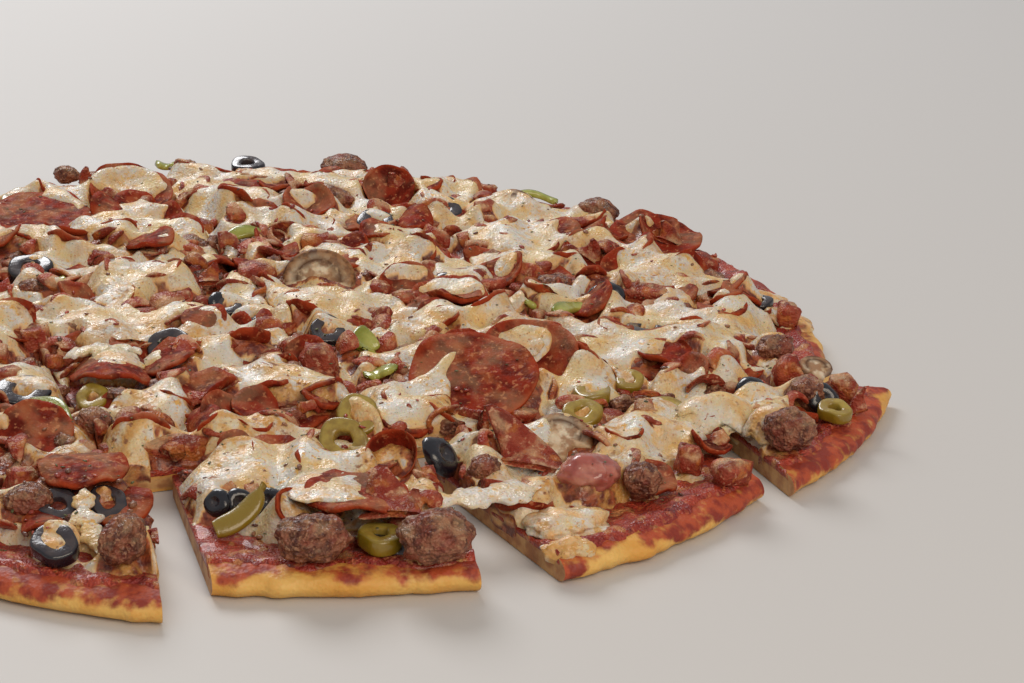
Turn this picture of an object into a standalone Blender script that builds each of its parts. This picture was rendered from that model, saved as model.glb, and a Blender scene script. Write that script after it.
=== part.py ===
"""Thin-crust supreme pizza, cut both ways into sixteen slices, the four front ones drawn apart.

Lengths are in millimetres and angles in degrees; every mesh is scaled to metres as it is finished.
The pizza's middle is the origin, and it lies flat on Z = 0.
"""
from functools import partial
import math

import bmesh
import bpy
from mathutils import Matrix, Vector, noise

MM = 0.001

# Base, from its middle out: a flat bed, a slope up to the rim's crest and a rounded edge
RADIUS = 203.0
BED_RADIUS = 184.0
BED_HEIGHT = 5.5
CREST_RADIUS = 194.0
CREST_HEIGHT = 8.0
EDGE = [(RADIUS - 4, 0.0), (RADIUS - 0.8, 1.6), (RADIUS, 3.8), (RADIUS - 1.5, 6.4), (RADIUS - 5, CREST_HEIGHT)]

# Layers on the base
GAP = 0.3
SAUCE_THICKNESS = 1.2
SAUCE_RADIUS = 190.0
CHEESE_RADIUS = 182.0
CHEESE_HEIGHT = 10.6
CHEESE_RINGS = (38.0, 74.0, 108.0, 138.0, 163.0)
ROUND_SIDES = 64

# Cuts, in a grid turned against the X axis
GRID_TURN = 23.0
KERF = 1.2
ROW_CUTS = (-114.0, -19.0, 76.0)
COLUMN_CUTS = (-86.0, 4.0, 94.0)
FRONT_COLUMN_CUTS = (-74.0, 4.0, 94.0)
FAR = 260.0

# Slices drawn apart: (row, column): (pivot along, pivot across, slide along, slide across, turn)
DRAWN_SLICES = {
    (0, 0): (-110.0, -140.0, -11.0, -11.5, -10.0),
    (0, 1): (-35.0, -155.0, 0.5, -7.5, -6.0),
    (0, 2): (49.0, -155.0, 13.0, -8.5, 8.0),
    (0, 3): (122.0, -140.0, 25.0, -4.5, 0.0),
}

# Toppings fused to the cheese, as they lie. A lean tips a piece over towards a compass angle.
# Pepperoni: x, y, z of the middle, radius, lean, lean angle
PEPPERONI = [
    (-74, 135, 15, 17, 24, -60), (-53, 13, 12, 22, 4, -90), (34, 153, 16, 11, 48, -90),
    (10, -88, 13, 21, 8, -90), (65, 16, 14, 15, 20, -95), (48, 32, 14, 11, 30, -80),
    (92, 48, 12, 19, 8, -90), (121, 82, 13, 14, 22, -70), (146, 107, 13, 19, 10, -80),
    (147, -30, 13, 19, 10, -80), (-46, -168, 13, 11, 20, -90), (-27, -172, 13, 10, 10, -90),
    (-62, -124, 15, 12, 30, -80), (-113, 60, 12, 20, 6, -60), (-150, -40, 13, 20, 10, -60),
    (-150, 20, 13, 19, 12, -120), (-128, -100, 13, 20, 12, -80), (-20, 158, 13, 17, 8, -90),
]
# Sausage: x, y, length, width, height, turn
SAUSAGE = [
    (7, 142, 25, 16, 12, 10), (12, 190, 20, 14, 12, 0), (123, 138, 18, 12, 12, -20),
    (56, 65, 9, 8, 7, 0), (104, 42, 16, 13, 10, 15), (184, -17, 15, 12, 10, 40),
    (-64, -20, 24, 16, 10, 20), (54, -135, 14, 13, 12, 0), (82, -137, 11, 10, 10, 0),
    (131, -142, 10, 12, 12, 70), (191, -61, 11, 10, 10, 0), (-46, -110, 12, 11, 10, 0),
    (-90, 15, 13, 12, 10, 30), (-54, -174, 16, 13, 11, 20), (-107, 168, 11, 9, 8, 0),
    (-92, 158, 15, 11, 9, 0), (-57, 186, 10, 8, 7, 0), (-150, 95, 18, 14, 11, 50),
    (-180, -10, 17, 14, 11, 100), (-120, -20, 20, 15, 11, 30), (-90, -140, 16, 13, 11, 0),
]
# Olive rings: x, y, radius, lean, lean angle
BLACK_OLIVES = [
    (-97, 41, 8, 20, -90), (-31, 190, 7, 10, -90), (57, 137, 8.5, 18, -80), (30, 114, 8.5, 20, -90),
    (63, 38, 6, 30, -90), (22, -17, 7, 25, -60), (124, 31, 7, 30, -100), (138, -1, 8, 20, -90),
    (182, 34, 7, 15, -90), (-32, -38, 7.5, 35, -120), (5, -169, 6.5, 30, -110),
    (66, -128, 7, 35, -100), (-45, -176, 6.5, 25, -90), (-31, -173, 6.5, 25, -70),
    (-17, 7, 6, 20, -60), (-8, -4, 6, 15, -90), (-74, -86, 9, 15, -60), (-165, 60, 8, 10, 0),
    (-140, -70, 8, 15, -90),
]
GREEN_OLIVES = [
    (-62, 96, 6.5, 20, -90), (-76, 10, 6, 25, -90), (36, -119, 8, 45, -95), (39, -97, 7.5, 40, -90),
    (117, -66, 7.5, 15, -90), (130, -55, 5, 20, -90), (113, -87, 6.5, 25, -90), (144, -73, 7, 30, -110),
    (199, -74, 6.5, 20, -90), (52, -186, 7.5, 15, -90), (-50, -89, 6, 20, -90), (-120, 128, 7, 15, -90),
    (-170, 20, 7, 10, 0),
]
# Pepper strips: x, y, length, width, turn
PEPPERS = [
    (-21, 89, 16, 6, 30), (-6, 104, 12, 8, -20), (111, 14, 20, 6, 55), (99, 20, 12, 7, 10),
    (38, -30, 12, 10, 80), (44, -57, 10, 7, 10), (10, -8, 11, 4, 50), (-62, -109, 21, 7, -45),
    (11, -177, 18, 6, 38), (101, 167, 20, 4, -5), (-85, 29, 9, 4, 40), (-67, 190, 9, 6, 0),
    (-130, 60, 16, 6, -30),
]
# Mushroom slices: x, y, length, turn
MUSHROOMS = [
    (14, 39, 27, 0), (86, 139, 24, -25), (106, -107, 24, -15), (196, -38, 12, 20), (-140, 120, 22, 40),
]
# Ham and bacon pieces: x, y, length, width, height, turn
HAM = [
    (-64, 159, 14, 7, 5, 35), (-51, 112, 9, 7, 5, 0), (-49, 142, 16, 5, 5, 55), (-25, 110, 12, 8, 4, 30),
    (-10, 44, 14, 12, 8, 20), (-39, 67, 14, 8, 5, -25), (-54, 63, 12, 6, 5, 0), (-72, 56, 10, 8, 6, 0),
    (75, 172, 12, 5, 4, -30), (9, 87, 14, 9, 6, -10), (115, 123, 14, 8, 6, -10),
    (139, 36, 22, 8, 7, -10), (166, 23, 14, 6, 5, -25), (163, 75, 13, 8, 7, 0), (192, 22, 8, 9, 7, 0),
    (1, -20, 9, 9, 8, 0), (11, -36, 9, 10, 7, 30), (22, -52, 12, 12, 11, 0), (35, 3, 11, 6, 5, 10),
    (134, -85, 8, 8, 7, 20), (139, -96, 13, 6, 5, 0), (-60, -157, 10, 8, 6, 40), (2, -158, 10, 6, 5, 0),
    (48, -157, 9, 6, 10, 20), (186, -40, 10, 9, 8, 0), (204, -54, 11, 9, 7, 0), (-9, -72, 20, 13, 6, 60),
    (-19, -125, 27, 9, 5, 12), (155, -88, 11, 8, 6, 30), (-80, 166, 8, 7, 6, 0), (-100, -60, 14, 8, 6, 50),
    (-165, -60, 15, 8, 6, 0), (-110, -160, 12, 8, 6, 20), (32, 82, 9, 6, 4, 0), (52, 112, 9, 6, 5, 20),
    (54, 87, 6, 10, 5, 0), (74, 93, 12, 5, 4, -20), (-86, -8, 14, 10, 6, 30), (-80, -32, 9, 14, 7, 0),
    (-92, -52, 12, 9, 6, 0), (-22, -20, 10, 6, 4, 0), (-7, -41, 12, 7, 4, 20), (160, -128, 13, 9, 6, 40),
    (147, -120, 9, 7, 6, 0), (-150, 55, 12, 8, 6, 70), (-175, 50, 9, 8, 6, 0), (-30, 178, 10, 7, 5, 0),
]
# Cheese heaps: x, y, radius, height over the cheese
HEAPS = [
    (123, -32, 15, 9), (177, 54, 11, 7), (193, 8, 9, 6), (57, 165, 16, 5), (-42, 128, 11, 6),
    (42, 68, 14, 6), (76, 78, 14, 6), (100, 92, 11, 6), (26, 14, 13, 6), (57, -21, 13, 7),
    (165, -72, 20, 7), (22, -145, 22, 6), (-70, 95, 14, 5), (-100, -30, 15, 5),
]

# Toppings in a node of their own
# Pepperoni: name, x, y, z, radius, lean, lean angle
FREE_PEPPERONI = [
    ("pepperoni_centre", 77, -66, 17, 23, 24, -90),
    ("pepperoni_centre_right", 99, -43, 18, 21, 26, -75),
    ("pepperoni_arched", -47, -69, 17, 16, 32, -100),
    ("pepperoni_back_left", -106, 102, 14, 23, 8, -90),
    ("pepperoni_front_left", -40, -160, 20, 14, 3, 90),
    ("pepperoni_front", 46, -173, 19.5, 16, 4, -90),
]
# Sausage: name, x, y, z, length, width, height, turn
FREE_SAUSAGE = [
    ("sausage_front", 33, -196, 15.5, 21, 17, 13, 0),
    ("sausage_front_right", 69, -194, 16.5, 22, 18, 15, 20),
    ("sausage_front_left", -21, -203, 16, 13, 17, 14, -20),
    ("sausage_right", 181, -100, 16, 17, 14, 13, 10),
    ("salami_glossy", 114, -142, 17, 17, 15, 13, 0),
]
FREE_OLIVE = ("olive_front_left", -41, -203, 13.5, 7, 22, -90)
SLICE_THICKNESS = 2.4

# How fused toppings sit in the cheese
FUSED_SLICE_THICKNESS = 3.0
OLIVE_THICKNESS = 4.5
OLIVE_LIFT = 1.5
STRIP_THICKNESS = 5.0
STRIP_LIFT = 2.0
MUSHROOM_THICKNESS = 4.0
MUSHROOM_LEAN = 25
SINK = 3.0

COLOURS = {
    "crust": (0.78, 0.50, 0.17), "sauce": (0.42, 0.05, 0.02), "cheese": (0.88, 0.76, 0.50),
    "pepperoni": (0.42, 0.07, 0.04), "sausage": (0.27, 0.14, 0.10), "black_olive": (0.03, 0.03, 0.04),
}
ROUGHNESS = {
    "crust": 0.7, "sauce": 0.3, "cheese": 0.4, "pepperoni": 0.35, "sausage": 0.5, "black_olive": 0.25,
}


def wobble(angle):
    """Share by which a hand-stretched round is wider or narrower at an angle."""
    return 1 + 0.006 * math.sin(3 * angle + 1) + 0.004 * math.sin(7 * angle + 2)


def slope_height(radius):
    """Height of the base's top between its bed and the rim's crest."""
    share = (radius - BED_RADIUS) / (CREST_RADIUS - BED_RADIUS)
    return BED_HEIGHT + (CREST_HEIGHT - BED_HEIGHT) * min(max(share, 0), 1)


def make_object(name, bm):
    """Puts a bmesh in a new scene object."""
    bmesh.ops.recalc_face_normals(bm, faces=bm.faces[:])
    mesh = bpy.data.meshes.new(name)
    bm.to_mesh(mesh)
    bm.free()
    made = bpy.data.objects.new(name, mesh)
    bpy.context.scene.collection.objects.link(made)
    return made


def discard(thing):
    """Removes an object with its mesh."""
    mesh = thing.data
    bpy.data.objects.remove(thing)
    bpy.data.meshes.remove(mesh)


def round_solid(name, profile_at, peak=None):
    """Solid turned about Z through the rings of profile_at(angle), flat at both ends or with a peak."""
    bm = bmesh.new()
    rings = []
    for side in range(ROUND_SIDES):
        angle = math.tau * side / ROUND_SIDES
        column = []
        for radius, height in profile_at(angle):
            reach = radius * wobble(angle)
            column.append(bm.verts.new((reach * math.cos(angle), reach * math.sin(angle), height)))
        rings.append(column)
    for side, column in enumerate(rings):
        following = rings[(side + 1) % ROUND_SIDES]
        for level in range(len(column) - 1):
            bm.faces.new((column[level], following[level], following[level + 1], column[level + 1]))
    bm.faces.new([column[0] for column in reversed(rings)])
    top = [column[-1] for column in rings]
    if peak is None:
        bm.faces.new(top)
    else:
        middle = bm.verts.new((0, 0, peak))
        for side, corner in enumerate(top):
            bm.faces.new((corner, top[(side + 1) % ROUND_SIDES], middle))
    return make_object(name, bm)


def base_profile(angle):
    return EDGE + [(CREST_RADIUS, CREST_HEIGHT), (BED_RADIUS, BED_HEIGHT)]


def sauce_profile(angle):
    outer = SAUCE_RADIUS + 1.6 * math.sin(5 * angle) + 1.4 * math.sin(11 * angle + 1)
    under = slope_height(outer) + GAP
    over = under + SAUCE_THICKNESS
    return [(BED_RADIUS, BED_HEIGHT + GAP), (outer, under), (outer - 1, over),
            (BED_RADIUS, BED_HEIGHT + GAP + SAUCE_THICKNESS)]


def clearance_profile(angle):
    """Everything that toppings must stay above."""
    lift = 2 * GAP + SAUCE_THICKNESS
    return [(FAR, -10), (FAR, CREST_HEIGHT + lift), (CREST_RADIUS, CREST_HEIGHT + lift),
            (BED_RADIUS, BED_HEIGHT + lift)]


def cheese_top(x, y):
    """Height of the bare cheese's uneven top."""
    return CHEESE_HEIGHT + 1.7 * noise.noise(Vector((x / 30, y / 30, 3)))


def cheese_profile(angle):
    outer = CHEESE_RADIUS + 5 * noise.noise(Vector((2 * math.cos(angle), 2 * math.sin(angle), 7)))
    rings = [(outer, BED_HEIGHT), (outer, BED_HEIGHT + 3.2)]
    for radius in reversed(CHEESE_RINGS):
        rings.append((radius, cheese_top(radius * math.cos(angle), radius * math.sin(angle))))
    return rings


def solid_from(name, points, faces, place):
    """Solid from corner points and faces, put in its place."""
    bm = bmesh.new()
    corners = [bm.verts.new(place @ Vector(point)) for point in points]
    for face in faces:
        bm.faces.new([corners[index] for index in face])
    return make_object(name, bm)


def prism(name, outline, height, place):
    """Upright prism over an outline, centred on its own middle height."""
    count = len(outline)
    points = [(x, y, -height / 2) for x, y in outline] + [(x, y, height / 2) for x, y in outline]
    faces = [tuple(range(count)), tuple(range(count, 2 * count))]
    for index in range(count):
        after = (index + 1) % count
        faces.append((index, after, after + count, index + count))
    return solid_from(name, points, faces, place)


def placing(x, y, z, turn=0, lean=0, lean_angle=0):
    """Matrix that turns a piece, tips it over towards an angle and carries it to its place."""
    axis = Vector((-math.sin(math.radians(lean_angle)), math.cos(math.radians(lean_angle)), 0))
    tipped = Matrix.Rotation(math.radians(lean), 4, axis) @ Matrix.Rotation(math.radians(turn), 4, "Z")
    return Matrix.Translation((x, y, z)) @ tipped


def disc(name, radius, thickness, place, sides=12):
    """Round slice of meat, a little uneven."""
    outline = []
    for side in range(sides):
        angle = math.tau * side / sides
        reach = radius * (1 + 0.03 * math.sin(2 * angle + radius))
        outline.append((reach * math.cos(angle), reach * math.sin(angle)))
    return prism(name, outline, thickness, place)


def lump(name, length, width, height, place, grow=0.0):
    """Rough ball of meat or melted cheese."""
    bm = bmesh.new()
    bmesh.ops.create_icosphere(bm, subdivisions=1, radius=1)
    for corner in bm.verts:
        uneven = 1 + 0.14 * noise.noise(corner.co * 1.7 + Vector((length, width, height)))
        scaled = Vector((corner.co.x * (length / 2 + grow), corner.co.y * (width / 2 + grow),
                         corner.co.z * (height / 2 + grow))) * uneven
        corner.co = place @ scaled
    return make_object(name, bm)


def olive_ring(name, radius, place, thickness=OLIVE_THICKNESS, grow=0.0, sides=8):
    """Slice of a pitted olive."""
    bm = bmesh.new()
    columns = []
    outer, inner, half = radius + grow, radius * 0.45 - grow, thickness / 2 + grow
    for side in range(sides):
        angle = math.tau * side / sides
        column = []
        for reach, height in ((outer, -half), (outer, half), (inner, half), (inner, -half)):
            corner = Vector((reach * math.cos(angle), reach * math.sin(angle), height))
            column.append(bm.verts.new(place @ corner))
        columns.append(column)
    for side, column in enumerate(columns):
        following = columns[(side + 1) % sides]
        for level in range(4):
            after = (level + 1) % 4
            bm.faces.new((column[level], following[level], following[after], column[after]))
    return make_object(name, bm)


def strip(name, length, width, place):
    """Bowed strip of pepper."""
    outline = [(-length / 2, -width / 2), (0, -width / 2 + 2), (length / 2, -width / 2),
               (length / 2, width / 2), (0, width / 2 + 2), (-length / 2, width / 2)]
    return prism(name, outline, STRIP_THICKNESS, place)


def mushroom_slice(name, length, place):
    """Cap and stem of a sliced mushroom."""
    cap = [(length / 2 * math.cos(angle), length / 3 * math.sin(angle))
           for angle in (0, 0.6, 1.2, 1.94, 2.54, math.pi)]
    stem = [(-length / 8, -1), (-length / 8, -length / 3), (length / 8, -length / 3), (length / 8, -1)]
    return prism(name, cap + stem, MUSHROOM_THICKNESS, place)


def chunk(name, length, width, height, place):
    """Ham or bacon piece, a block with its top pulled in."""
    points = [(x * length / 2 * (1 - 0.2 * (z + 1) / 2), y * width / 2 * (1 - 0.25 * (z + 1) / 2),
               z * height / 2) for z in (-1, 1) for y in (-1, 1) for x in (-1, 1)]
    faces = [(0, 1, 3, 2), (4, 5, 7, 6), (0, 1, 5, 4), (2, 3, 7, 6), (0, 2, 6, 4), (1, 3, 7, 5)]
    return solid_from(name, points, faces, place)


def fused_toppings():
    """Each fused topping as its plan place, its placing and the function that makes it once placed."""
    made = []
    for x, y, z, radius, lean, angle in PEPPERONI:
        place = placing(x, y, z, 0, lean, angle)
        made.append((x, y, place, partial(disc, "pepperoni", radius, FUSED_SLICE_THICKNESS)))
    for x, y, length, width, height, turn in SAUSAGE:
        place = placing(x, y, CHEESE_HEIGHT + 0.3 * height, turn)
        made.append((x, y, place, partial(lump, "sausage", length, width, height)))
    for x, y, radius, lean, angle in BLACK_OLIVES + GREEN_OLIVES:
        place = placing(x, y, CHEESE_HEIGHT + OLIVE_LIFT + lean / 25, 0, lean, angle)
        made.append((x, y, place, partial(olive_ring, "olive", radius)))
    for x, y, length, width, turn in PEPPERS:
        place = placing(x, y, CHEESE_HEIGHT + STRIP_LIFT, turn)
        made.append((x, y, place, partial(strip, "pepper", length, width)))
    for x, y, length, turn in MUSHROOMS:
        place = placing(x, y, CHEESE_HEIGHT + STRIP_LIFT, turn, MUSHROOM_LEAN, -90)
        made.append((x, y, place, partial(mushroom_slice, "mushroom", length)))
    for x, y, length, width, height, turn in HAM:
        place = placing(x, y, CHEESE_HEIGHT + height / 2 - SINK / 2, turn)
        made.append((x, y, place, partial(chunk, "ham", length, width, height + SINK)))
    for x, y, radius, height in HEAPS:
        place = placing(x, y, CHEESE_HEIGHT - 1)
        made.append((x, y, place, partial(lump, "heap", 2 * radius, 2 * radius, 2 * height)))
    return made


def free_toppings(grow=0.0):
    """Toppings in nodes of their own, or copies that are larger all round by grow."""
    made = []
    label = "room_for_" if grow else ""
    for name, x, y, z, radius, lean, angle in FREE_PEPPERONI:
        place = placing(x, y, z, 0, lean, angle)
        made.append(disc(label + name, radius + grow, SLICE_THICKNESS + 2 * grow, place, 20))
    for name, x, y, z, length, width, height, turn in FREE_SAUSAGE:
        made.append(lump(label + name, length, width, height, placing(x, y, z, turn), grow))
    name, x, y, z, radius, lean, angle = FREE_OLIVE
    made.append(olive_ring(label + name, radius, placing(x, y, z, 0, lean, angle), 5, grow, 14))
    return made


def cell_range(row, column):
    """Bounds of a slice along and across the grid of cuts."""
    across = (-FAR,) + ROW_CUTS + (FAR,)
    along = (-FAR,) + (FRONT_COLUMN_CUTS if row == 0 else COLUMN_CUTS) + (FAR,)
    return along[column], along[column + 1], across[row], across[row + 1]


def grid_point(along, across):
    turn = math.radians(GRID_TURN)
    return Vector((along * math.cos(turn) - across * math.sin(turn),
                   along * math.sin(turn) + across * math.cos(turn), 0))


def slice_move(row, column):
    """Matrix from a slice's uncut place to where it lies."""
    if (row, column) not in DRAWN_SLICES:
        return Matrix.Identity(4)
    pivot_along, pivot_across, slide_along, slide_across, turn = DRAWN_SLICES[(row, column)]
    pivot = grid_point(pivot_along, pivot_across)
    slide = grid_point(slide_along, slide_across)
    spin = Matrix.Rotation(math.radians(turn), 4, "Z")
    return Matrix.Translation(pivot + slide) @ spin @ Matrix.Translation(-pivot)


def depth_inside(row, column, x, y):
    """How far a place lies inside a slice's cuts, less than zero outside them."""
    home = slice_move(row, column).inverted() @ Vector((x, y, 0))
    turn = math.radians(GRID_TURN)
    along = home.x * math.cos(turn) + home.y * math.sin(turn)
    across = -home.x * math.sin(turn) + home.y * math.cos(turn)
    low_u, high_u, low_v, high_v = cell_range(row, column)
    return min(along - low_u, high_u - along, across - low_v, high_v - across)


def owner(x, y):
    """Slice that carries what lies at a place."""
    slices = [(row, column) for row in range(4) for column in range(4)]
    return max(slices, key=lambda place: depth_inside(*place, x, y))


def cell_box(row, column):
    """Tall box between a slice's cuts."""
    low_u, high_u, low_v, high_v = cell_range(row, column)
    half = KERF / 2
    corners = [grid_point(low_u + half, low_v + half), grid_point(high_u - half, low_v + half),
               grid_point(high_u - half, high_v - half), grid_point(low_u + half, high_v - half)]
    return prism("cell", [(corner.x, corner.y) for corner in corners], 120, Matrix.Identity(4))


def freeze(thing):
    """Applies an object's modifiers."""
    graph = bpy.context.evaluated_depsgraph_get()
    mesh = bpy.data.meshes.new_from_object(thing.evaluated_get(graph))
    old = thing.data
    thing.modifiers.clear()
    thing.data = mesh
    bpy.data.meshes.remove(old)


def combine(thing, other, operation):
    """Boolean of one object with another."""
    step = thing.modifiers.new("combine", "BOOLEAN")
    step.operation = operation
    step.solver = "EXACT"
    step.object = other
    freeze(thing)


def fuse(thing, others):
    """Joins a group of objects to one in a single union."""
    group = bpy.data.collections.new("fused")
    bpy.context.scene.collection.children.link(group)
    for other in others:
        group.objects.link(other)
    step = thing.modifiers.new("fuse", "BOOLEAN")
    step.operand_type = "COLLECTION"
    step.collection = group
    step.operation = "UNION"
    step.solver = "EXACT"
    freeze(thing)
    for other in others:
        discard(other)
    bpy.data.collections.remove(group)


def islands(bm):
    """Groups of faces that hang together."""
    waiting = set(bm.faces)
    found = []
    while waiting:
        group = []
        front = [waiting.pop()]
        while front:
            face = front.pop()
            group.append(face)
            for edge in face.edges:
                for neighbour in edge.link_faces:
                    if neighbour in waiting:
                        waiting.remove(neighbour)
                        front.append(neighbour)
        found.append(group)
    return found


def keep_largest(thing):
    """Drops loose scraps and fills sealed hollows."""
    bm = bmesh.new()
    bm.from_mesh(thing.data)
    bmesh.ops.remove_doubles(bm, verts=bm.verts[:], dist=0.02)
    bmesh.ops.dissolve_degenerate(bm, edges=bm.edges[:], dist=0.02)
    groups = sorted(islands(bm), key=lambda group: sum(face.calc_area() for face in group))
    spare = [face for group in groups[:-1] for face in group]
    bmesh.ops.delete(bm, geom=spare, context="FACES")
    bmesh.ops.triangulate(bm, faces=bm.faces[:])
    bm.to_mesh(thing.data)
    bm.free()


def material(slot):
    """Plain material of a slot."""
    found = bpy.data.materials.get(slot)
    if found is None:
        found = bpy.data.materials.new(slot)
        found.use_nodes = True
        shader = found.node_tree.nodes["Principled BSDF"]
        shader.inputs["Base Color"].default_value = (*COLOURS[slot], 1)
        shader.inputs["Roughness"].default_value = ROUGHNESS[slot]
        shader.inputs["Metallic"].default_value = 0
    return found


def finish(thing, name, slot, move):
    """Names a piece, carries it to its place and scales it to metres."""
    thing.name = name
    thing.data.name = name
    thing.data.transform(Matrix.Scale(MM, 4) @ move)
    thing.data.materials.clear()
    thing.data.materials.append(material(slot))


def copy_of(thing):
    twin = bpy.data.objects.new(thing.name + "_copy", thing.data.copy())
    bpy.context.scene.collection.objects.link(twin)
    return twin


def build_slice(row, column, rounds, toppings, grown):
    """One slice: its base, its sauce and its cheese with the toppings on it."""
    move = slice_move(row, column)
    home = move.inverted()
    cell = cell_box(row, column)
    for part in ("crust", "sauce"):
        layer = copy_of(rounds[part])
        combine(layer, cell, "INTERSECT")
        finish(layer, f"{part}_{row + 1}_{column + 1}", part, move)
    topping = copy_of(rounds["cheese"])
    carried = [make(home @ place) for x, y, place, make in toppings if owner(x, y) == (row, column)]
    fuse(topping, carried)
    combine(topping, cell, "INTERSECT")
    combine(topping, rounds["clearance"], "DIFFERENCE")
    for other in grown:
        if depth_inside(row, column, *middle(other)) > -30:
            other.matrix_world = home
            combine(topping, other, "DIFFERENCE")
            other.matrix_world = Matrix.Identity(4)
    keep_largest(topping)
    finish(topping, f"cheese_{row + 1}_{column + 1}", "cheese", move)
    discard(cell)


def middle(thing):
    """Plan middle of an object's mesh."""
    corners = [corner.co for corner in thing.data.vertices]
    return (sum(corner.x for corner in corners) / len(corners),
            sum(corner.y for corner in corners) / len(corners))


def build():
    for thing in list(bpy.data.objects):
        bpy.data.objects.remove(thing)
    rounds = {
        "crust": round_solid("crust", base_profile),
        "sauce": round_solid("sauce", sauce_profile),
        "cheese": round_solid("cheese", cheese_profile, cheese_top(0, 0)),
        "clearance": round_solid("clearance", clearance_profile),
    }
    grown = free_toppings(GAP + 0.05)
    toppings = fused_toppings()
    for row in range(4):
        for column in range(4):
            build_slice(row, column, rounds, toppings, grown)
    for index, topping in enumerate(free_toppings()):
        for earlier in grown[:index]:
            combine(topping, earlier, "DIFFERENCE")
        combine(topping, rounds["clearance"], "DIFFERENCE")
        keep_largest(topping)
        slot = topping.name.split("_")[0]
        slot = {"salami": "pepperoni", "olive": "black_olive"}.get(slot, slot)
        finish(topping, topping.name, slot, Matrix.Identity(4))
    for helper in list(rounds.values()) + grown:
        discard(helper)


build()
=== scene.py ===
import math
import random
from functools import partial

import bmesh
import bpy
import numpy as np
from mathutils import Matrix, Vector, noise


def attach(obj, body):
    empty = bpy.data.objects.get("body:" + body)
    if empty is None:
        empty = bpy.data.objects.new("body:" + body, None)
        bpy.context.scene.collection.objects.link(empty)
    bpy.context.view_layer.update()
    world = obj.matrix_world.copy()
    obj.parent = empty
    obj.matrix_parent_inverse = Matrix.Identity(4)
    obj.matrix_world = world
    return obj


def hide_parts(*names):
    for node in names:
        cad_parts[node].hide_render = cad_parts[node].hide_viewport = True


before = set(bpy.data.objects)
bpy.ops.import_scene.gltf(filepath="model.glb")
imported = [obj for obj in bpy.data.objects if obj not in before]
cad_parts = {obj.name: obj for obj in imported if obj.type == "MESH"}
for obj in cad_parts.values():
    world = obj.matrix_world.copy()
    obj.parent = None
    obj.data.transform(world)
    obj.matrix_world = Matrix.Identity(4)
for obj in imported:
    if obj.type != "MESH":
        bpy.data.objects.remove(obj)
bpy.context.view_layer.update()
print("frame loaded:", len(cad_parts), "nodes")

mm = 0.001   # plan sizes below are millimetres, angles are degrees
dice = random.Random(7)

# The plan of the pizza: base, cuts and the slices drawn apart
base = {
    "bedRadius": 184.0, "bedHeight": 5.5, "crestRadius": 194.0, "crestHeight": 8.0, "sauceGap": 0.3,
    "sauceThickness": 1.2,
}
cuts = {
    "turn": math.radians(23.0), "half": 0.6, "far": 260.0,
    "rows": (-114.0, -19.0, 76.0), "columns": (-86.0, 4.0, 94.0), "frontColumns": (-74.0, 4.0, 94.0),
}
drawnSlices = {   # (row, column): pivot along and across the cuts, slide along and across, turn
    (0, 0): (-110.0, -140.0, -11.0, -11.5, -10.0),
    (0, 1): (-35.0, -155.0, 0.5, -7.5, -6.0),
    (0, 2): (49.0, -155.0, 13.0, -8.5, 8.0),
    (0, 3): (122.0, -140.0, 25.0, -4.5, 0.0),
}
sliceList = [(row, column) for row in range(4) for column in range(4)]


def wobble(angle):
    # how much wider or narrower the hand-stretched round is at a plan angle
    return 1 + 0.006 * np.sin(3 * angle + 1) + 0.004 * np.sin(7 * angle + 2)


def spin(along, across):
    # from along and across the cuts to the plan
    c, s = math.cos(cuts["turn"]), math.sin(cuts["turn"])
    return along * c - across * s, along * s + across * c


def unspin(x, y):
    # from the plan to along and across the cuts
    c, s = math.cos(cuts["turn"]), math.sin(cuts["turn"])
    return x * c + y * s, y * c - x * s


def carry(place, x, y, back=False):
    # from a slice's uncut place to where it lies, or back
    if place not in drawnSlices:
        return x, y
    pivotU, pivotV, slideU, slideV, turn = drawnSlices[place]
    px, py = spin(pivotU, pivotV)
    sx, sy = spin(slideU, slideV)
    c, s = math.cos(math.radians(turn)), math.sin(math.radians(turn))
    if back:
        dx, dy = x - px - sx, y - py - sy
        return px + dx * c + dy * s, py - dx * s + dy * c
    dx, dy = x - px, y - py
    return px + sx + dx * c - dy * s, py + sy + dx * s + dy * c


def sliceBounds(row, column):
    across = (-cuts["far"],) + cuts["rows"] + (cuts["far"],)
    along = (-cuts["far"],) + (cuts["frontColumns"] if row == 0 else cuts["columns"]) + (cuts["far"],)
    half = cuts["half"]
    return along[column] + half, along[column + 1] - half, across[row] + half, across[row + 1] - half


def depthInside(place, x, y):
    # how deep a spot lies within a slice's cuts, and how far from the middle
    along, across = unspin(*carry(place, x, y, back=True))
    left, right, near, beyond = sliceBounds(*place)
    return min(along - left, right - along, across - near, beyond - across), math.hypot(along, across)


def sliceEnds(row, column):
    # the rim arc's two ends, anticlockwise, and the two corners of the side away from the rim
    left, right, near, beyond = sliceBounds(row, column)
    if row == 0:
        start = ("along", left, -1) if column > 0 else ("across", beyond, -1)
        end = ("along", right, -1) if column < 3 else ("across", beyond, 1)
        return start, end, (left if column > 0 else right, beyond), (right if column < 3 else left, beyond)
    if row == 3:
        start = ("along", right, 1) if column < 3 else ("across", near, 1)
        end = ("along", left, 1) if column > 0 else ("across", near, -1)
        return start, end, (right if column < 3 else left, near), (left if column > 0 else right, near)
    if column == 3:
        return ("across", near, 1), ("across", beyond, 1), (left, near), (left, beyond)
    return ("across", beyond, -1), ("across", near, -1), (right, beyond), (right, near)


def angleOn(end, radius):
    # plan angle, in the grid of cuts, where a cut meets a round of this radius
    way, place, side = end
    reach = radius
    for _ in range(4):
        rest = side * math.sqrt(max(reach ** 2 - place ** 2, 0.01))
        angle = math.atan2(rest, place) if way == "along" else math.atan2(place, rest)
        reach = radius * float(wobble(angle + cuts["turn"]))
    return angle


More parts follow.
